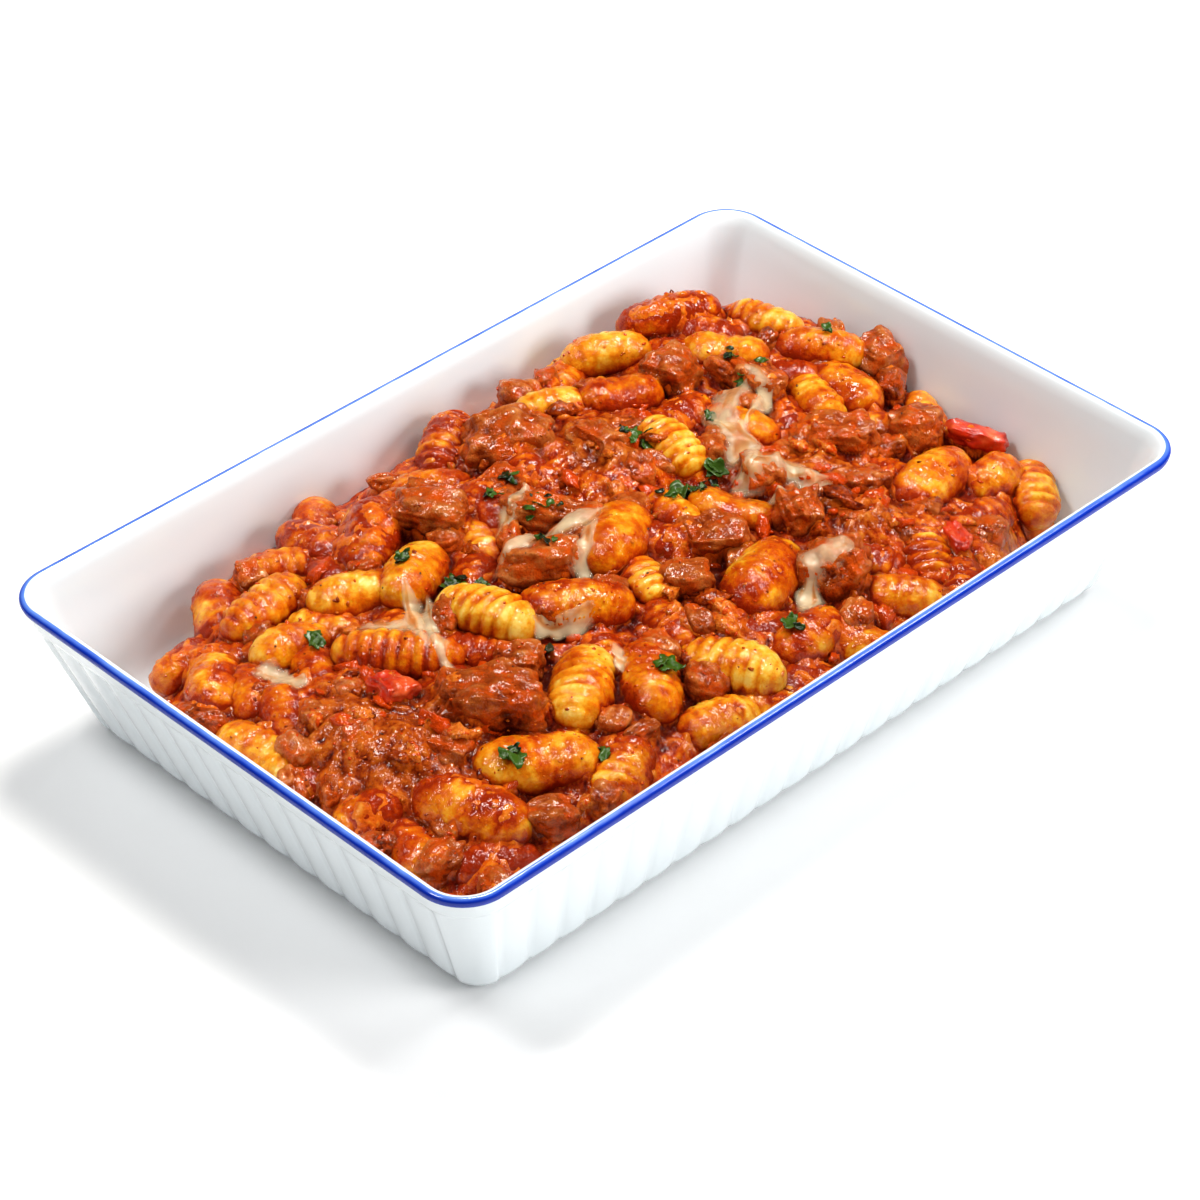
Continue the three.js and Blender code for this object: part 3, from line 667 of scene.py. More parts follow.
rng = random.Random(12)
taken = [row[:2] for row in GNOCCHI + BEEF + TOMATO]
lower_places = fill_gaps(LOWER_GNOCCHI, 11, taken, 12.5)
lower = [(FIRST_LOWER + i, (x, y, rng.uniform(0, 180), rng.uniform(22, 28), rng.uniform(14, 16.5),
                            LOWER_SINK + rng.uniform(0, 1.5), 0, rng.uniform(0.2, 0.7),
                            rng.uniform(0.5, 0.9), rng.uniform(0.3, 0.7)))
         for i, (x, y) in enumerate(lower_places)]
lower_mesh, lower_facts = lay_gnocchi("lower_gnocchi", lower, 32, 44)
scrap_places = fill_gaps(LOWER_BEEF, 13, taken + lower_places, 9, reach_x=129, reach_y=80.5)
scraps = [(x, y, rng.uniform(0, 180), rng.uniform(9, 17), rng.uniform(7, 13), rng.uniform(6, 10),
           rng.uniform(0, 2), rng.random()) for x, y in scrap_places]
scrap_mesh, scrap_facts = make_lumps("lower_beef", scraps, cuts=12, roundness=0.85, cleft=0.7, seed=3900)

# %% [markdown]
# ### Minced beef and tomato in the sauce
#
# The sauce is full of crumbs of meat and flesh of tomato of a few millimetres. They are
# too many to place by hand, so a seeded draw scatters them over the bed, more of them
# where the mince is heaped. Each is a ball of a few dozen faces, flattened, and pushed
# out of shape by noise.

# %% Seeded places for small things
FOOD_REACH_X, FOOD_REACH_Y = 131, 81
LOWEST_PLACE = 15       # nothing is scattered where the sauce is lower
ON_SAUCE, ON_MINCE = 0.45, 0.12  # chance of a place, and what each millimetre of mince adds


def bed_height(x, y):
    """Height of the sauce between the pieces, without its lumps."""
    return heap_top(x, y) - BED_DEPTH + mound_height(x, y) - sauce_fall(x, y)


def scatter(count, seed):
    """Seeded places over the food, more of them where the mince is heaped."""
    rng = random.Random(seed)
    while count:
        x, y = rng.uniform(-FOOD_REACH_X, FOOD_REACH_X), rng.uniform(-FOOD_REACH_Y, FOOD_REACH_Y)
        if bed_height(x, y) > LOWEST_PLACE and rng.random() < ON_SAUCE + ON_MINCE * mound_height(x, y):
            count -= 1
            yield x, y, rng


# %% Scatter the chunks
CHUNKS, CHUNK_SEED = 300, 77
SMALLEST_CHUNK, CHUNK_RANGE = 1.2, 2.4  # half the width, in millimetres

chunk_ball = pebble_of(2)
chunk_round = raw_points(chunk_ball)
chunk_places, chunk_tones = [], []
for index, (x, y, rng) in enumerate(scatter(CHUNKS, CHUNK_SEED)):
    size = SMALLEST_CHUNK + CHUNK_RANGE * rng.random() ** 1.4
    points = chunk_round * [size * rng.uniform(1.2, 2.0), size, size * rng.uniform(0.6, 0.9)]
    uneven = 1 + 0.8 * grain(points, 2.4, index * 3.3) + 0.5 * grain(points, 1.2, index * 1.1)
    z = bed_height(x, y) + rng.uniform(-1.2, 1.8)
    chunk_places.append(place_lying(points * uneven[:, None], x, y, z, rng.uniform(0, 6.3),
                                    rng.uniform(-0.4, 0.4), rng.uniform(-0.6, 0.6)))
    chunk_tones += [rng.random()] * len(points)
chunk_mesh = copies("chunks", chunk_ball, chunk_places)
print("chunks:", CHUNKS, "of", len(chunk_round), "points")

# %% [markdown]
# ## Sauce
#
# The sauce fills the room between the pieces, climbs a little up each one and covers
# some of them. First the pieces are felt from above: a ray goes down at each point of a
# fine grid and gives the height of whatever lies there. Softening that map gives the
# fillets that a thick sauce makes round each piece, and noise makes it lumpy and lets it
# cover some pieces and leave others bare. The sheet is then closed below, down to the
# dish's floor.

# %% Feel the pieces from above
MAP_STEP, MAP_X, MAP_Y = 0.7, 142, 92
xs = np.arange(-MAP_X, MAP_X + 0.01, MAP_STEP)
ys = np.arange(-MAP_Y, MAP_Y + 0.01, MAP_STEP)
map_x, map_y = np.meshgrid(xs, ys, indexing="ij")


def feel_from_above(*meshes):
    """Height in millimetres of the highest surface at each point of the map, or -1."""
    corners, faces = [], []
    for mesh in meshes:
        first = len(corners)
        corners.extend(v.co.copy() for v in mesh.vertices)
        faces.extend([first + i for i in p.vertices] for p in mesh.polygons)
    tree = BVHTree.FromPolygons(corners, faces)
    down, high = Vector((0, 0, -1)), 0.1
    hits = [tree.ray_cast((x * MM, y * MM, high), down)[0] for x in xs for y in ys]
    return np.array([-1 if hit is None else hit.z / MM for hit in hits]).reshape(map_x.shape)


piece_meshes = (pale_mesh, sauced_mesh, lower_mesh, beef_mesh, bits_mesh, tomato_mesh, chunk_mesh,
                scrap_mesh)
piece_tops = feel_from_above(*piece_meshes)
print("map:", map_x.shape, "points, covered by pieces:", round(float((piece_tops > 0).mean()), 2))


# %% Helpers that blur, read and roughen a map
def soften(heights, reach):
    """Blurs a map with a bell curve that reaches so many millimetres."""
    steps = np.arange(-int(3 * reach / MAP_STEP), int(3 * reach / MAP_STEP) + 1) * MAP_STEP
    bell = np.exp(-(steps / reach) ** 2 / 2)
    bell /= bell.sum()
    pad = len(bell) // 2
    for axis, margins in enumerate(([(pad, pad), (0, 0)], [(0, 0), (pad, pad)])):
        wide = np.pad(heights, margins, mode="edge")
        heights = np.apply_along_axis(lambda line: np.convolve(line, bell, mode="valid"), axis, wide)
    return heights


def read_map(heights, points):
    """A map's value at points given in millimetres, between its grid points."""
    i = np.clip((points[:, 0] - xs[0]) / MAP_STEP, 0, len(xs) - 1.001)
    j = np.clip((points[:, 1] - ys[0]) / MAP_STEP, 0, len(ys) - 1.001)
    a, b = i.astype(int), j.astype(int)
    u, v = i - a, j - b
    return (heights[a, b] * (1 - u) * (1 - v) + heights[a + 1, b] * u * (1 - v)
            + heights[a, b + 1] * (1 - u) * v + heights[a + 1, b + 1] * u * v)


flat = np.stack([map_x.ravel(), map_y.ravel(), np.zeros(map_x.size)], axis=1)


def map_grain(size, seed):
    """A map of noise with grains of one size in millimetres."""
    return grain(flat, size, seed).reshape(map_x.shape)


# %% Say where sauce covers the pieces
MOST_COVERED, BEEF_SHOWS = 0.6, 0.35  # 1 is drowned in sauce, and 0 is bare

cover = np.full(map_x.shape, MOST_COVERED)
for x, y, _, length, *_ in BEEF:
    near = smooth_step(0.62, 0.4, np.hypot(map_x - x, map_y - y) / length)
    cover = cover - BEEF_SHOWS * near
for x, y, turn, length, width, *_, sauce_on_it, _ in [row for _, row in lower] + GNOCCHI:
    c, d = math.cos(math.radians(turn)), math.sin(math.radians(turn))
    u = (map_x - x) * c + (map_y - y) * d
    v = -(map_x - x) * d + (map_y - y) * c
    near = smooth_step(1.25, 0.9, np.sqrt((2 * u / length) ** 2 + (2 * v / width) ** 2))
    cover = cover + (sauce_on_it - cover) * near
print("cover, lowest and highest:", round(float(cover.min()), 2), round(float(cover.max()), 2))

# %% Let the sauce settle round the pieces, in millimetres
FILLET = 1.6            # how widely the sauce rounds the corners between the pieces
CLIMB, LEFT_BARE = 2.9, 2.5
TOO_STEEP, SLIDE = 0.9, 1.6  # sauce slides off what is steeper
THICKEST = 1.1          # most that the sauce lies over a piece

crumbly = 1.9 * np.abs(map_grain(5, 8.1)) + 0.7 * np.abs(map_grain(2.4, 5.2)) - 0.7
bed = bed_height(map_x, map_y) + 2.8 * map_grain(9, 3.3) + crumbly
solid_tops = np.maximum(bed, piece_tops)
draped = soften(solid_tops, FILLET)
steep = np.hypot(*np.gradient(draped, MAP_STEP))
cling = draped - LEFT_BARE + CLIMB * cover
cling = cling + 1.7 * map_grain(8, 1.7) + 0.9 * map_grain(3.3, 7.7) + 0.7 * crumbly
cling = cling - SLIDE * np.clip(steep - TOO_STEEP, 0, 2)
sauce_tops = np.minimum(np.maximum(bed, cling), solid_tops + THICKEST + 0.4 * crumbly)
print("sauce over the pieces:", round(float((sauce_tops > piece_tops).mean()), 2))

# %% The room inside the dish, in millimetres
CLEARANCE = 0.35        # between the sauce and the porcelain
HOLLOW_HEIGHTS, HOLLOW_STEPS = [5, 6.2, 9, 14], [14, 9, 5.6, 4.4]


def hollow_outline(z):
    """Half sizes and corner radius of the dish's hollow at a height, in millimetres."""
    step = float(np.interp(z, HOLLOW_HEIGHTS, HOLLOW_STEPS)) + CLEARANCE
    down = 1 - z / WIDEST
    corner = CORNER_AT_RIM + (CORNER_AT_BASE - CORNER_AT_RIM) * down
    return (DISH_LENGTH / 2 - LEAN_X * down - step, DISH_WIDTH / 2 - LEAN_Y * down - step,
            max(corner - step, SMALLEST_CORNER))


def keep_in_hollow(x, y, z):
    """How far outside the hollow a point is, and the nearest point of its outline."""
    half_x, half_y, radius = hollow_outline(z)
    cx = min(max(x, radius - half_x), half_x - radius)
    cy = min(max(y, radius - half_y), half_y - radius)
    away = math.hypot(x - cx, y - cy)
    if away < 1e-6:
        return -radius, (x, y)
    return away - radius, (cx + (x - cx) * radius / away, cy + (y - cy) * radius / away)


# %% Make the sheet of sauce
LOWEST = DISH_FLOOR + CLEARANCE

sauce = bmesh.new()
bmesh.ops.create_grid(sauce, x_segments=len(xs) - 1, y_segments=len(ys) - 1, size=1)
for vert in sauce.verts:
    i = round((vert.co.x + 1) / 2 * (len(xs) - 1))
    j = round((vert.co.y + 1) / 2 * (len(ys) - 1))
    vert.co = (xs[i] * MM, ys[j] * MM, sauce_tops[i, j] * MM)
outside = [v for v in sauce.verts if v.co.z < LOWEST * MM or keep_in_hollow(*(v.co / MM))[0] > 0]
bmesh.ops.delete(sauce, geom=outside, context="VERTS")
loose = [v for v in sauce.verts if not v.link_faces]
bmesh.ops.delete(sauce, geom=loose, context="VERTS")
border = [e for e in sauce.edges if len(e.link_faces) == 1]
print("sheet of sauce:", len(sauce.faces), "faces,", len(border), "edges on its border")

# %% Fit the sauce's border to the walls, and close it down to the dish's floor
TOUCHES, OPEN, SHORE_HEIGHT = 1.2, 0.5, 16  # the shore is the border that lies open or low
SMOOTHINGS = 24

for vert in {v for e in border for v in e.verts}:
    away, nearest = keep_in_hollow(*(vert.co / MM))
    if away > -TOUCHES:
        vert.co.xy = [c * MM for c in nearest]
shore = [v for v in {v for e in border for v in e.verts}
         if keep_in_hollow(*(v.co / MM))[0] < -OPEN or v.co.z < SHORE_HEIGHT * MM]
for _ in range(SMOOTHINGS):
    bmesh.ops.smooth_vert(sauce, verts=shore, factor=0.5, use_axis_x=True, use_axis_y=True, use_axis_z=True)
for level in (14, 9, 6.2, LOWEST - 0.1):
    made = bmesh.ops.extrude_edge_only(sauce, edges=border)["geom"]
    border = [g for g in made if isinstance(g, bmesh.types.BMEdge)]
    for vert in {v for e in border for v in e.verts}:
        x, y, z = vert.co / MM
        z = min(level, z - 0.02)
        away, nearest = keep_in_hollow(x, y, z)
        vert.co = [c * MM for c in (*(nearest if away > 0 else (x, y)), z)]
bmesh.ops.holes_fill(sauce, edges=border)
bmesh.ops.recalc_face_normals(sauce, faces=sauce.faces)
sauce_mesh = as_mesh(sauce, "sauce")
print("sauce:", len(sauce_mesh.polygons), "faces")

# %% [markdown]
# ### What the colours of the food need
#
# The colour of each spot of food depends on how it lies: sauce is red where it is thin
# over a piece and brown where it is full of meat. Shade and light are painted in as well:
# food that lies deep in the gaps is drawn darkest as painted shade, and the sauce's crests
# are drawn lighter and its fine creases darker as painted light and shade. Those facts are
# measured here on the map and stored on the points, as numbers from 0 to 1.

# %% Number the sauce
WIDE, NARROW = 4.0, 1.4  # how far round a spot its surroundings reach, in millimetres

sauce_points = points_of(sauce_mesh)
thickness = np.clip(sauce_tops - piece_tops, 0, 3)
food_tops = np.maximum(sauce_tops, piece_tops)
around_tops = soften(food_tops, WIDE)
# This map drives painted light and shade: the sauce is drawn lighter where it stands over its surroundings
# and darker in its fine creases.
crest_light_and_shade = sauce_tops - soften(sauce_tops, NARROW)
meat = smooth_step(1.0, 5.0, mound_height(map_x, map_y) + 3.0 * map_grain(12, 6.1))
# Painted shade: spots that lie lower than the food round them are drawn darker.
for name, values in (
        ("thin", smooth_step(1.3, 0.0, read_map(thickness, sauce_points))),
        ("gap_shade", smooth_step(0.3, 4.0, read_map(around_tops - food_tops, sauce_points))),
        ("crest_light_and_shade", np.clip(0.5 + 0.9 * read_map(crest_light_and_shade, sauce_points), 0, 1)),
        ("meaty", read_map(meat, sauce_points))):
    set_attribute(sauce_mesh, name, values)
    print("sauce,", name, "on average:", round(float(np.mean(values)), 2))


# %% Number the pieces
def stain_gnocchi(mesh, facts):
    """How deeply the sauce has stained each point: 0 is bare dough and 1 is red sauce."""
    points = points_of(mesh)
    over_sauce = points[:, 2] - read_map(sauce_tops, points)
    over_bed = points[:, 2] - read_map(bed, points)
    groove, tone, sauced = facts.T
    patches = 0.9 * grain(points, 10, 4.4) + 0.35 * grain(points, 4, 9.2) + 0.25 * grain(points, 1.7, 1.2)
    stain = 0.08 + 0.85 * tone + (0.35 + 0.4 * sauced) * patches + 0.22 * groove
    stain += 0.4 * smooth_step(1.4, 0.0, over_sauce) + 0.3 * smooth_step(6.0, 1.0, over_bed)
    set_attribute(mesh, "stain", np.clip(stain, 0, 1.25))
    print(mesh.name, "stain, middle and spread:", round(float(stain.mean()), 2), round(float(stain.std()), 2))


# Painted shade on the pieces too: the lower a point lies below the food round it, the darker it is drawn.
for mesh in piece_meshes:
    points = points_of(mesh)
    set_attribute(mesh, "gap_shade", smooth_step(0.8, 5.0, read_map(around_tops, points) - points[:, 2]))
stain_gnocchi(pale_mesh, pale_facts)
stain_gnocchi(sauced_mesh, sauced_facts)
stain_gnocchi(lower_mesh, lower_facts)

# %% [markdown]
# ## Melted cheese
#
# Grated cheese has melted into soft bands and strings that sag over the pieces below. A
# cloth simulation could drape them, but a band of cheese has thickness and sticks where
# it lies. So a flat grid follows a drawn path, each of its points is laid on a softened
# map of the food, which lets it bridge the gaps, and it thins out at its edges until it
# sinks into the sauce.

# %% Where the cheese lies, in millimetres
CHEESE = [  # width, thickness and a path of x, y
    (14, 1.1, [(70, 27), (64, 20), (63, 12), (61, 4), (55, -4), (48, -6), (42, -5)]),
    (12, 1.1, [(46, -8), (53, -7), (59, -9), (62, -14), (63, -21), (66, -29)]),
    (14, 1.0, [(60, 12), (66, 18), (76, 24), (84, 27)]),
    (6, 1.2, [(65, 9), (73, 14), (81, 16), (88, 17)]),
    (12, 1.2, [(19, -59), (25, -54), (32, -50), (40, -51), (50, -51)]),
    (9, 1.1, [(-54, 28), (-59, 20), (-64, 12), (-68, 5), (-71, -3)]),
    (8, 1.1, [(-52, 20), (-58, 13), (-64, 5), (-69, -5), (-71, -13)]),
    (11, 0.9, [(-78, 22), (-70, 18), (-65, 10)]),
    (10, 1.1, [(9, 8), (0, 8), (-8, 11), (-19, 12), (-28, 12), (-35, 11)]),
    (7, 1.0, [(2, 6), (-6, 2), (-13, -3), (-18, -9)]), (6, 0.9, [(-38, -44), (-34, -38), (-29, -31)]),
    (12, 1.3, [(-106, 34), (-103, 28), (-101, 22), (-98, 16)]),
    (7, 0.9, [(-24, 22), (-14, 26), (-5, 30), (4, 32)]),
    (8, 1.0, [(-42, -10), (-36, -18), (-24, -22)]), (8, 1.0, [(45, -22), (50, -20), (56, -24)]),
    (7, 1.0, [(88, 32), (84, 22), (79, 12)]),
]
print("bands of cheese:", len(CHEESE))


# %% A soft curve through a path
def smooth_path(points, count):
    """Evenly shared points on a soft curve through a path, and its headings."""
    path = np.array(points, float)
    curve = np.linspace(0, len(path) - 1, count)
    padded = np.vstack([2 * path[0] - path[1], path, 2 * path[-1] - path[-2]])
    i = np.minimum(curve.astype(int), len(path) - 2)
    t = (curve - i)[:, None]
    a, b, c, d = padded[i], padded[i + 1], padded[i + 2], padded[i + 3]
    places = 0.5 * (2 * b + (c - a) * t + (2 * a - 5 * b + 4 * c - d) * t ** 2
                    + (3 * b - a - 3 * c + d) * t ** 3)
    headings = np.gradient(places, axis=0)
    return places, headings / np.linalg.norm(headings, axis=1)[:, None]


# %% Lay the cheese
CHEESE_ALONG, CHEESE_ACROSS = 54, 10  # faces of one band
CHEESE_SKIN = 0.6       # thickness of the film, in millimetres

sagging = 0.7 * soften(food_tops, NARROW) + 0.3 * around_tops
cheese_grid = grid_of(CHEESE_ALONG, CHEESE_ACROSS)
square = raw_points(cheese_grid)
along_step = np.round((square[:, 0] + 1) / 2 * CHEESE_ALONG).astype(int)
across, end = square[:, 1], np.abs(square[:, 0])
cheese_bands, cheese_thin, cheese_strands = [], [], []
for index, (width, thickness, path) in enumerate(CHEESE):
    places, headings = smooth_path(path, CHEESE_ALONG + 1)
    ragged = 0.85 + 0.8 * grain(np.stack([along_step / 4, 0.7 * across, 0 * across], axis=1), 2, index * 6.1)
    taper = np.clip(1 - end ** 3, 0, 1) ** 0.7 * ragged
    side = np.stack([-headings[along_step, 1], headings[along_step, 0]], axis=1)
    spots = np.zeros((len(square), 3))
    spots[:, :2] = places[along_step] + side * (across * width / 2 * taper)[:, None]
    rounding = (1 - across ** 2) * (1 - end ** 4)
    rise = thickness * (rounding - 0.2) + 0.3 * grain(spots, 4, index)
    spots[:, 2] = np.maximum(read_map(sagging, spots), read_map(food_tops, spots) - 0.3) + rise
    spots[:, 2] = np.minimum(spots[:, 2], HIGHEST_FOOD - CHEESE_SKIN)
    cheese_bands.append(spots)
    cheese_thin.append(1 - rounding)
    strand = grain(np.stack([along_step / 9, 5 * across * width / 12, 0 * across], axis=1), 1.6, index * 3.7)
    cheese_strands.append(np.clip(0.5 + 0.9 * strand, 0, 1))
cheese_mesh = copies("cheese", cheese_grid, cheese_bands, shell=CHEESE_SKIN)
print("cheese:", len(cheese_mesh.polygons), "faces")

# %% [markdown]
# ## Parsley and pepper
#
# Chopped parsley is torn pieces of a thin, lobed and crinkled leaf. A few dozen faces are
# enough for each: a small grid is cut to a lobed outline by pulling its edge in, curled,
# and given the thickness of a leaf. The pepper and dried herbs are dark flakes under a
# millimetre. They would be lost in a drawing at true scale, so they are real flakes too.

# %% Where the parsley lies, in millimetres
PARSLEY = [  # x, y, turn, length of the larger leaves
    (36, 26, 20, 7), (64, 22, 70, 5), (48, 4, 110, 9), (33, 4, 40, 9), (27, 2, 0, 5), (-12, 36, 60, 5),
    (-3, 40, 30, 6), (-10, 21, 15, 8), (-43, 18, 80, 7), (-50, 32, 20, 7), (-39, 12, 10, 5),
    (-19, 6, 90, 5), (-43, -20, 50, 6), (-28, -52, 65, 9), (-84, -50, 50, 8), (-64, -63, 20, 5),
    (81, 25, 130, 6), (87, 37, 30, 5), (119, 26, 70, 5), (11, -61, 10, 8), (-86, 29, 90, 8),
    (92, 28, 0, 4), (38, 23, 80, 5), (45, 2, 30, 6), (36, 1, 100, 6), (-6, 18, 70, 4), (-46, 16, 130, 5),
]
print("sprigs of parsley:", len(PARSLEY))

# %% Tear one leaf
LEAF_GRID, LEAF_SEED = 7, 3100


def shape_leaf(square, index, length):
    """Shapes a flat grid of half size 1 into one torn, curled leaf, in millimetres."""
    rng = random.Random(LEAF_SEED + index)
    angle = np.arctan2(square[:, 1], square[:, 0])
    edge = np.maximum(np.abs(square[:, 0]), np.abs(square[:, 1]))
    lobes = 0.8 + 0.12 * np.cos(rng.choice((3, 4, 5)) * angle + rng.uniform(0, 6))
    torn = 0.32 * grain(np.stack([np.cos(angle), np.sin(angle), 0 * angle], axis=1), 0.55, index * 1.9)
    reach = edge * (lobes + torn)
    x, y = reach * np.cos(angle) * length / 2, reach * np.sin(angle) * length / 2 * rng.uniform(0.5, 0.75)
    curl = rng.uniform(0.08, 0.2) * y ** 2 * rng.choice((-1, 1)) + rng.uniform(-0.06, 0.06) * x ** 2
    crinkle = 0.75 * grain(np.stack([x, y, 0 * x], axis=1), 1.5, index * 2.7)
    return np.stack([x, y, curl + crinkle], axis=1)


leaf_grid = grid_of(LEAF_GRID, LEAF_GRID)
leaf_square = raw_points(leaf_grid)
print("points of one leaf:", len(leaf_square))

# %% Scatter the parsley
LARGE_SPRIG, SPRIG_SEED = 6, 3300  # a larger sprig has four leaves, and others three
LEAF_SIZE, LEAF_THICKNESS, LEAF_LIFT = 1.15, 0.22, 1.0


def food_top(x, y):
    """Height of the food at one place, in millimetres."""
    return float(read_map(food_tops, np.array([[x, y, 0]]))[0])


leaves, leaf_tones = [], []
for index, (x, y, turn, length) in enumerate(PARSLEY):
    rng = random.Random(SPRIG_SEED + index)
    for part in range(4 if length > LARGE_SPRIG else 3):
        dx, dy = (0, 0) if part == 0 else (rng.uniform(-3, 3), rng.uniform(-3, 3))
        size = LEAF_SIZE * length * (1 if part == 0 else rng.uniform(0.4, 0.7))
        points = shape_leaf(leaf_square, 10 * index + part, size)
        leaves.append(place_lying(points, x + dx, y + dy, food_top(x + dx, y + dy) + LEAF_LIFT,
                                  math.radians(turn) + 2.1 * part,
                                  rng.uniform(-0.45, 0.45), rng.uniform(-0.45, 0.45)))
        leaf_tones.append(rng.random())
parsley_mesh = copies("parsley", leaf_grid, leaves, shell=LEAF_THICKNESS)
print("parsley:", len(leaves), "leaves,", len(parsley_mesh.polygons), "faces")


# %% Scatter the crumbs and the pepper
CRUMBS, CRUMB_SEED = 1500, 59
PEPPER, PEPPER_SEED = 110, 41


def sprinkle(name, count, seed, smallest, largest, sink):
    """A mesh of small flakes that lie on the food, with a tone for each point."""
    grit = pebble_of(1)
    grit_round = raw_points(grit)
    placed, tones = [], []
    for index, (x, y, rng) in enumerate(scatter(count, seed)):
        size = smallest + (largest - smallest) * rng.random() ** 2
        rough = (1 + 0.5 * grain(grit_round, 0.9, index * 1.7))[:, None]
        points = grit_round * rough * [size * rng.uniform(1, 1.9), size, size * rng.uniform(0.4, 0.8)]
        placed.append(place_lying(points, x, y, food_top(x, y) - sink * size,
                                  rng.uniform(0, 6.3), rng.uniform(-0.6, 0.6)))
        tones += [rng.random()] * len(points)
    print(name, count, "flakes")
    return copies(name, grit, placed), tones


crumb_mesh, crumb_tones = sprinkle("crumbs", CRUMBS, CRUMB_SEED, 0.3, 0.8, 0.3)
pepper_mesh, _ = sprinkle("pepper", PEPPER, PEPPER_SEED, 0.2, 0.4, 0.2)

# %% [markdown]
# ## Colours of the food
#
# Everything here is cooked in water and oil, whose indices of refraction are about 1.33
# to 1.47, so the food gets 1.4 and a low specular level. What glints is the clear film
# of sauce and oil on top. It is a coat with a surface of its own, smoother than the food
# below it, and it has drained away in patches. In the gaps the coat is made thinner, as
# painted shade of its shine there. How fine a grain is was counted as grains in 10 mm,
# and one function turns that into the scale of a noise.

# %% Helpers for wet food
RIPPLES, PATCHES = 3.6, 1.9  # of the film, in 10 mm
COOKED = {"Roughness": 0.4, "IOR": 1.4, "Specular IOR Level": 0.12}
WET = {"Coat Roughness": 0.07, "Coat IOR": 1.5}


def wet_skin(tree, where):
    """The surface of the film of sauce and oil, smoother than the food below it."""
    ripples = add_node(tree, "TexNoise", {
        "Vector": where, "Scale": scale_of(RIPPLES), "Detail": 3, "Roughness": 0.5})
    return add_node(tree, "Bump", {"Height": ripples, "Strength": 1.0, "Distance": 1 * MM})


def wet_film_and_gap_shade(tree, gap_shade, where):
    """How much clear wet film lies on top: it comes in patches, and is thinner in the gaps as painted shade
    of its shine.
    """
    patches = add_node(tree, "TexNoise", {"Vector": where, "Scale": scale_of(PATCHES), "Detail": 2})
    wet = add_node(tree, "MapRange", {
        "Value": patches, "From Min": 0.4, "From Max": 0.54, "To Min": 0.3, "To Max": 1.0})
    open_part = add_node(tree, "MapRange", {
        "Value": gap_shade, "From Min": 0.2, "From Max": 0.8, "To Min": 1.0, "To Max": 0.1})
    return add_node(tree, "Math", {0: wet, 1: open_part}, operation="MULTIPLY")


def paint_gap_shade(tree, base, gap_shade, code):
    """Paints shade into a colour: darkens it towards another where the food lies below its surroundings."""
    shade = add_node(tree, "Math", {0: gap_shade, 1: 0.9}, operation="MULTIPLY")
    return add_node(tree, "Mix", {"Factor": shade, "A": base, "B": colour(code)},
                    out=2, data_type="RGBA")


print("scales of the wet film:", round(scale_of(RIPPLES)), round(scale_of(PATCHES)))

# %% [markdown]
# ### Potato dough
#
# Boiled potato dough is a pale yellow that light enters for a few millimetres, so it
# gets subsurface light. The sauce's oil stains it orange, and the stain is thickest in
# the grooves and where the sauce lies close. The speckle is sauce on the dough, so the
# relief is stronger where the stain is. Where a gnocco lies deep in a gap, its colour is
# painted darker as shade.

# %% Colour the dough
dough, tree = new_material("boiled_potato_dough")
where = add_node(tree, "TexCoord", out="Object")
stained = add_node(tree, "Attribute", attribute_name="stain", out="Fac")
gap_shade = add_node(tree, "Attribute", attribute_name="gap_shade", out="Fac")
speckle = add_node(tree, "TexNoise", {
    "Vector": where, "Scale": scale_of(3.3), "Detail": 6, "Roughness": 0.68})
shifted = add_node(tree, "MapRange", {
    "Value": speckle, "From Min": 0.3, "From Max": 0.7, "To Min": -0.26, "To Max": 0.26})
amount = add_node(tree, "Math", {0: stained, 1: shifted}, operation="ADD")
tint = add_node(tree, "ValToRGB", {"Fac": amount}, stops=[
    (0.0, "EECA68"), (0.22, "E6AA34"), (0.42, "DA8410"), (0.62, "CC6404"),
    (0.82, "BA4602"), (0.98, "A23000"), (1.0, "9A2C00")])
coated = add_node(tree, "MapRange", {
    "Value": stained, "From Min": 0.2, "From Max": 0.8, "To Min": 0.25, "To Max": 1.0})
# The dough is painted darker in the gaps as shade, and its coat is thinner there.
finish_material(tree, {
    **COOKED, **WET, "Base Color": paint_gap_shade(tree, tint, gap_shade, "600E00"),
    "Normal": add_node(tree, "Bump", {"Height": speckle, "Strength": coated, "Distance": 1.3 * MM}),
    "Subsurface Weight": 0.2, "Subsurface Radius": (1.0, 0.4, 0.1), "Subsurface Scale": 2 * MM,
    "Coat Weight": wet_film_and_gap_shade(tree, gap_shade, where), "Coat Normal": wet_skin(tree, where)})
for name, mesh in (("pale_gnocchi", pale_mesh), ("sauced_gnocchi", sauced_mesh),
                   ("lower_gnocchi", lower_mesh)):
    serve(name, mesh, dough, "gnocchi_in_sauce")

# %% [markdown]
# ### Sauce, chunks and crumbs
#
# The sauce is a wet paste of tomato and minced beef, with fine grains: a strong orange
# red, brown red where it is meaty and orange where it is a thin film over a piece. It is
# drawn lighter on its crests as painted light, and darkest where it lies deep in the gaps
# as painted shade. Chunks and crumbs share one material, and each has its own tone from
# brown meat to tomato.

# %% Colour the sauce
ragu, tree = new_material("tomato_and_beef_sauce")
where = add_node(tree, "TexCoord", out="Object")
gap_shade, thin, meaty, crest_light_and_shade = [add_node(tree, "Attribute", attribute_name=name, out="Fac")
                            for name in ("gap_shade", "thin", "meaty", "crest_light_and_shade")]
pulp = add_node(tree, "TexNoise", {
    "Vector": where, "Scale": scale_of(4.2), "Detail": 5, "Roughness": 0.66})
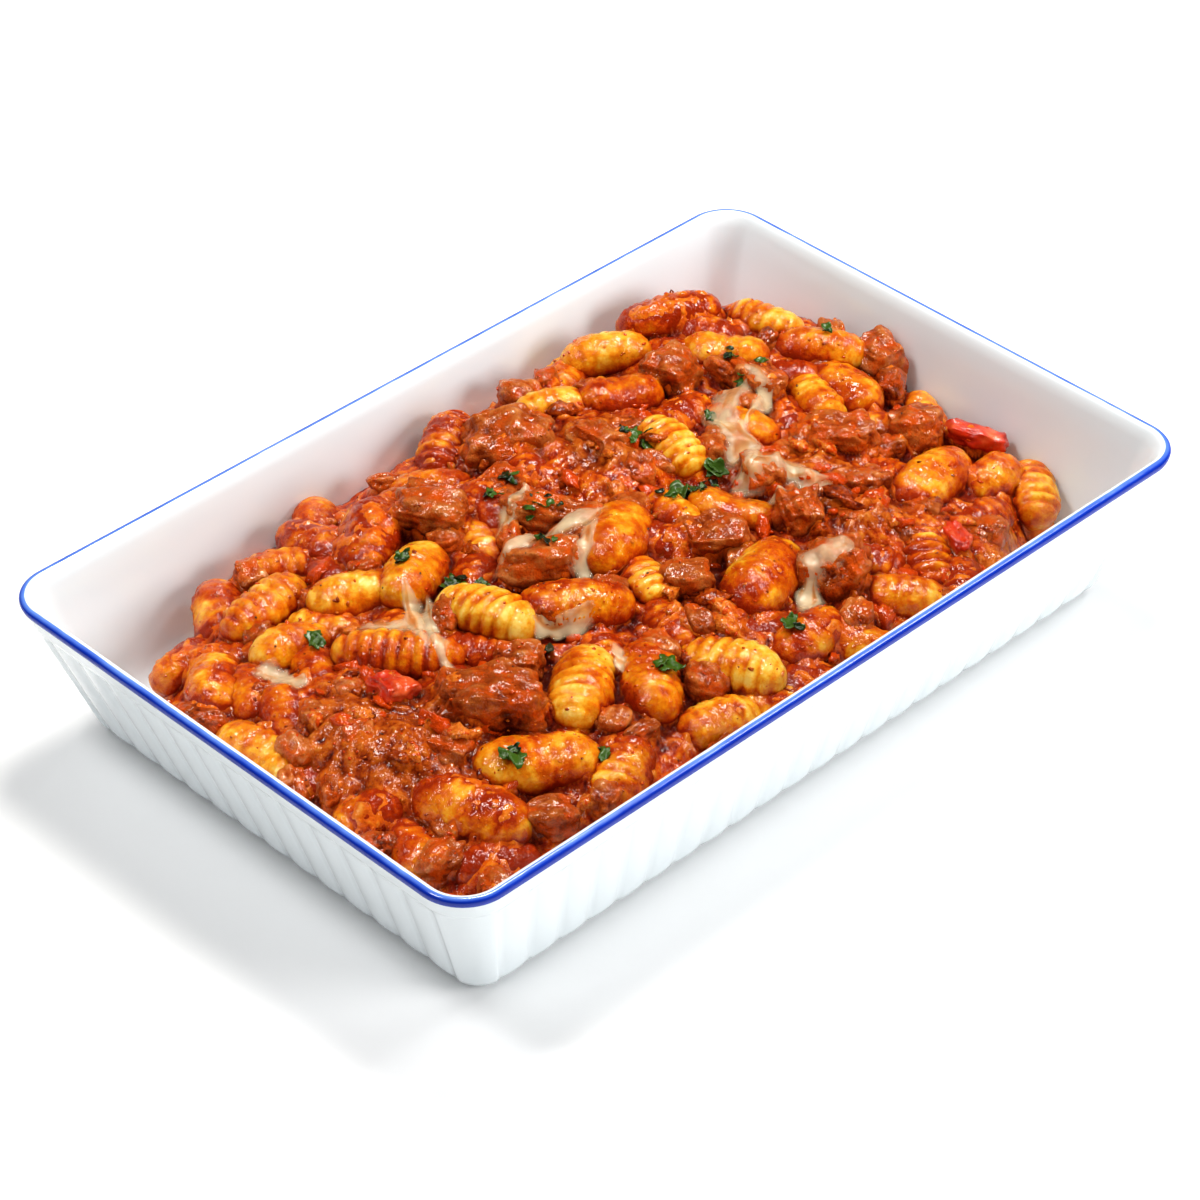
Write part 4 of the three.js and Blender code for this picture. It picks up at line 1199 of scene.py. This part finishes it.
# Painted light and shade: the colour moves lighter on the sauce's crests and darker in its creases.
raised = add_node(tree, "MapRange", {"Value": crest_light_and_shade, "To Min": -0.16, "To Max": 0.16})
pulpy = add_node(tree, "Math", {0: pulp, 1: raised}, operation="ADD")
red = add_node(tree, "ValToRGB", {"Fac": pulpy}, stops=[
    (0.25, "620A00"), (0.4, "A62C00"), (0.53, "C84E02"), (0.68, "DC7814"), (0.85, "E8A046")])
brown = add_node(tree, "ValToRGB", {"Fac": pulpy}, stops=[
    (0.25, "4C0A00"), (0.42, "903402"), (0.58, "B85810"), (0.85, "D28434")])
mixed = add_node(tree, "Mix", {"Factor": meaty, "A": red, "B": brown}, out=2, data_type="RGBA")
film = add_node(tree, "Math", {0: thin, 1: 0.5}, operation="MULTIPLY")
filmed = add_node(tree, "Mix", {"Factor": film, "A": mixed, "B": colour("D86C18")},
                  out=2, data_type="RGBA")
# The sauce is painted darker in the gaps as shade, and its coat is thinner there.
finish_material(tree, {
    **COOKED, **WET, "Base Color": paint_gap_shade(tree, filmed, gap_shade, "440700"),
    "Normal": add_node(tree, "Bump", {"Height": pulp, "Strength": 1.0, "Distance": 1.2 * MM}),
    "Coat Weight": wet_film_and_gap_shade(tree, gap_shade, where), "Coat Normal": wet_skin(tree, where)})
serve("sauce", sauce_mesh, ragu, "gnocchi_in_sauce", "gnocchi_heap")

# %% Colour the chunks and the crumbs
stew, tree = new_material("minced_beef_and_tomato")
where = add_node(tree, "TexCoord", out="Object")
tone = add_node(tree, "Attribute", attribute_name="tone", out="Fac")
mottle = add_node(tree, "TexNoise", {
    "Vector": where, "Scale": scale_of(5), "Detail": 4, "Roughness": 0.6})
mixed = add_node(tree, "Math", {0: tone, 1: mottle}, operation="ADD")
tint = add_node(tree, "ValToRGB", {"Fac": mixed}, stops=[
    (0.4, "5C1400"), (0.6, "9C3A02"), (0.75, "C25A10"), (0.9, "E08430"), (1.0, "C84602")])
finish_material(tree, {
    **COOKED, **WET, "Base Color": tint,
    "Normal": add_node(tree, "Bump", {"Height": mottle, "Strength": 1.0, "Distance": 1.6 * MM}),
    "Coat Weight": 0.9, "Coat Normal": wet_skin(tree, where)})
for name, mesh, tones in (("chunks", chunk_mesh, chunk_tones), ("crumbs", crumb_mesh, crumb_tones)):
    set_attribute(mesh, "tone", tones)
    serve(name, mesh, stew, "gnocchi_in_sauce")

# %% [markdown]
# ### Braised beef and stewed tomato
#
# Beef shows its fibres as light and dark bands. The bands follow how far each point
# stands out, so besides the fibres' own colour they are painted light where the beef
# stands out and painted shade in its clefts. It is browner where the pan seared it, with
# splashes of sauce on top, and painted darker in the gaps as shade. Stewed tomato is a
# clear red with hardly any relief, which is what tells it from the beef.

# %% Colour the beef
braised, tree = new_material("braised_beef")
where = add_node(tree, "TexCoord", out="Object")
fibre_and_relief_shade, browning, gap_shade = [add_node(tree, "Attribute", attribute_name=name, out="Fac")
                         for name in ("fibre_and_relief_shade", "browning", "gap_shade")]
mottle = add_node(tree, "TexNoise", {
    "Vector": where, "Scale": scale_of(3.8), "Detail": 5, "Roughness": 0.65})
# The bands are partly fibre colour and partly painted light and shade: lighter where the beef stands out,
# darker in its clefts.
banded = add_node(tree, "Math", {0: fibre_and_relief_shade, 1: mottle}, operation="ADD")
light = add_node(tree, "ValToRGB", {"Fac": banded}, stops=[
    (0.3, "822A04"), (0.55, "B6561A"), (0.8, "D27E3C"), (1.0, "E0A066")])
dark = add_node(tree, "ValToRGB", {"Fac": banded}, stops=[
    (0.3, "541400"), (0.6, "903C0C"), (1.0, "BC6628")])
seared = add_node(tree, "Mix", {"Factor": browning, "A": light, "B": dark}, out=2, data_type="RGBA")
splash = add_node(tree, "TexNoise", {
    "Vector": where, "Scale": scale_of(1.7), "Detail": 5, "Roughness": 0.7})
wetted = add_node(tree, "MapRange", {
    "Value": splash, "From Min": 0.46, "From Max": 0.6, "To Max": 0.8})
tint = add_node(tree, "Mix", {"Factor": wetted, "A": seared, "B": colour("CA5004")},
                out=2, data_type="RGBA")
# The beef is painted darker in the gaps as shade, and its coat is thinner there.
finish_material(tree, {
    **COOKED, **WET, "Base Color": paint_gap_shade(tree, tint, gap_shade, "440700"),
    "Normal": add_node(tree, "Bump", {"Height": mottle, "Strength": 1.0, "Distance": 1.8 * MM}),
    "Coat Weight": wet_film_and_gap_shade(tree, gap_shade, where), "Coat Normal": wet_skin(tree, where)})
for name, mesh, facts, nodes in (
        ("beef", beef_mesh, beef_facts, [f"beef_{i + 1}" for i in range(len(BEEF))]),
        ("beef_bits", bits_mesh, bits_facts, []),
        ("lower_beef", scrap_mesh, scrap_facts, [])):
    # How far each point stands out, kept for painted light on the bulges and painted shade in the clefts.
    set_attribute(mesh, "fibre_and_relief_shade", np.clip(0.55 * facts[:, 0] + 0.1, -0.5, 1))
    set_attribute(mesh, "browning", facts[:, 1])
    serve(name, mesh, braised, "beef", *nodes)

# %% Colour the tomato
stewed, tree = new_material("stewed_tomato")
where = add_node(tree, "TexCoord", out="Object")
flesh = add_node(tree, "TexNoise", {"Vector": where, "Scale": scale_of(2.2), "Detail": 3})
tint = add_node(tree, "ValToRGB", {"Fac": flesh}, stops=[
    (0.3, "A01C04"), (0.5, "C8340E"), (0.75, "E06A38")])
finish_material(tree, {
    **WET, "Base Color": tint, "Roughness": 0.35, "IOR": 1.4,
    "Normal": add_node(tree, "Bump", {"Height": flesh, "Strength": 0.4, "Distance": 1 * MM}),
    "Coat Weight": 0.9, "Coat Normal": wet_skin(tree, where)})
serve("tomato", tomato_mesh, stewed, "tomato", *[f"tomato_{i + 1}" for i in range(len(TOMATO))])

# %% [markdown]
# ### Melted cheese, parsley and pepper
#
# Melted cheese is a translucent film: the sauce shines through it, and it fades away
# where it thins out at its edges. Fat gathers along its strands as lighter streaks.
# Parsley is a deep green with lighter veins and a faint gloss. Pepper is nearly black.

# %% Colour the cheese
melted, tree = new_material("melted_cheese")
where = add_node(tree, "TexCoord", out="Object")
strand = add_node(tree, "Attribute", attribute_name="strand", out="Fac")
edge = add_node(tree, "Attribute", attribute_name="edge", out="Fac")
blush = add_node(tree, "TexNoise", {"Vector": where, "Scale": scale_of(1.3), "Detail": 3})
streaked = add_node(tree, "Math", {0: strand, 1: blush}, operation="ADD")
tint = add_node(tree, "ValToRGB", {"Fac": streaked}, stops=[
    (0.55, "DC9450"), (0.8, "F2C48A"), (1.0, "FCE8C0")])
ragged = add_node(tree, "Math", {0: edge, 1: blush}, operation="ADD")
cloudy = add_node(tree, "MapRange", {
    "Value": ragged, "From Min": 0.4, "From Max": 1.3, "To Min": 0.8, "To Max": 0.0})
finish_material(tree, {
    **WET, "Base Color": tint, "Roughness": 0.35, "IOR": 1.2, "Alpha": cloudy,
    "Normal": add_node(tree, "Bump", {"Height": blush, "Strength": 0.3, "Distance": 1 * MM}),
    "Transmission Weight": 0.42, "Coat Weight": 1.0, "Coat Normal": wet_skin(tree, where)})
set_attribute(cheese_mesh, "edge", np.tile(np.concatenate(cheese_thin), 2))
set_attribute(cheese_mesh, "strand", np.tile(np.concatenate(cheese_strands), 2))
serve("cheese", cheese_mesh, melted, "gnocchi_in_sauce")

# %% Colour the parsley and the pepper
leafy, tree = new_material("parsley_leaf")
where = add_node(tree, "TexCoord", out="Object")
tone = add_node(tree, "Attribute", attribute_name="tone", out="Fac")
veins = add_node(tree, "TexNoise", {"Vector": where, "Scale": scale_of(8), "Detail": 2})
mixed = add_node(tree, "Math", {0: tone, 1: veins}, operation="ADD")
tint = add_node(tree, "ValToRGB", {"Fac": mixed}, stops=[
    (0.4, "0A1605"), (0.75, "1A2C0A"), (1.0, "3E5C18")])
finish_material(tree, {
    "Base Color": tint, "Roughness": 0.35, "IOR": 1.42, "Coat Weight": 0.3, "Coat Roughness": 0.2,
    "Normal": add_node(tree, "Bump", {"Height": veins, "Strength": 0.5, "Distance": 0.5 * MM})})
sides = len(parsley_mesh.vertices) // (len(leaf_square) * len(leaves))
set_attribute(parsley_mesh, "tone", np.tile(np.repeat(leaf_tones, len(leaf_square)), sides))
serve("parsley", parsley_mesh, leafy, "gnocchi_in_sauce")

cracked, tree = new_material("cracked_pepper")
finish_material(tree, {"Base Color": colour("2A1A10"), "Roughness": 0.5, "IOR": 1.45})
serve("pepper", pepper_mesh, cracked, "gnocchi_in_sauce")
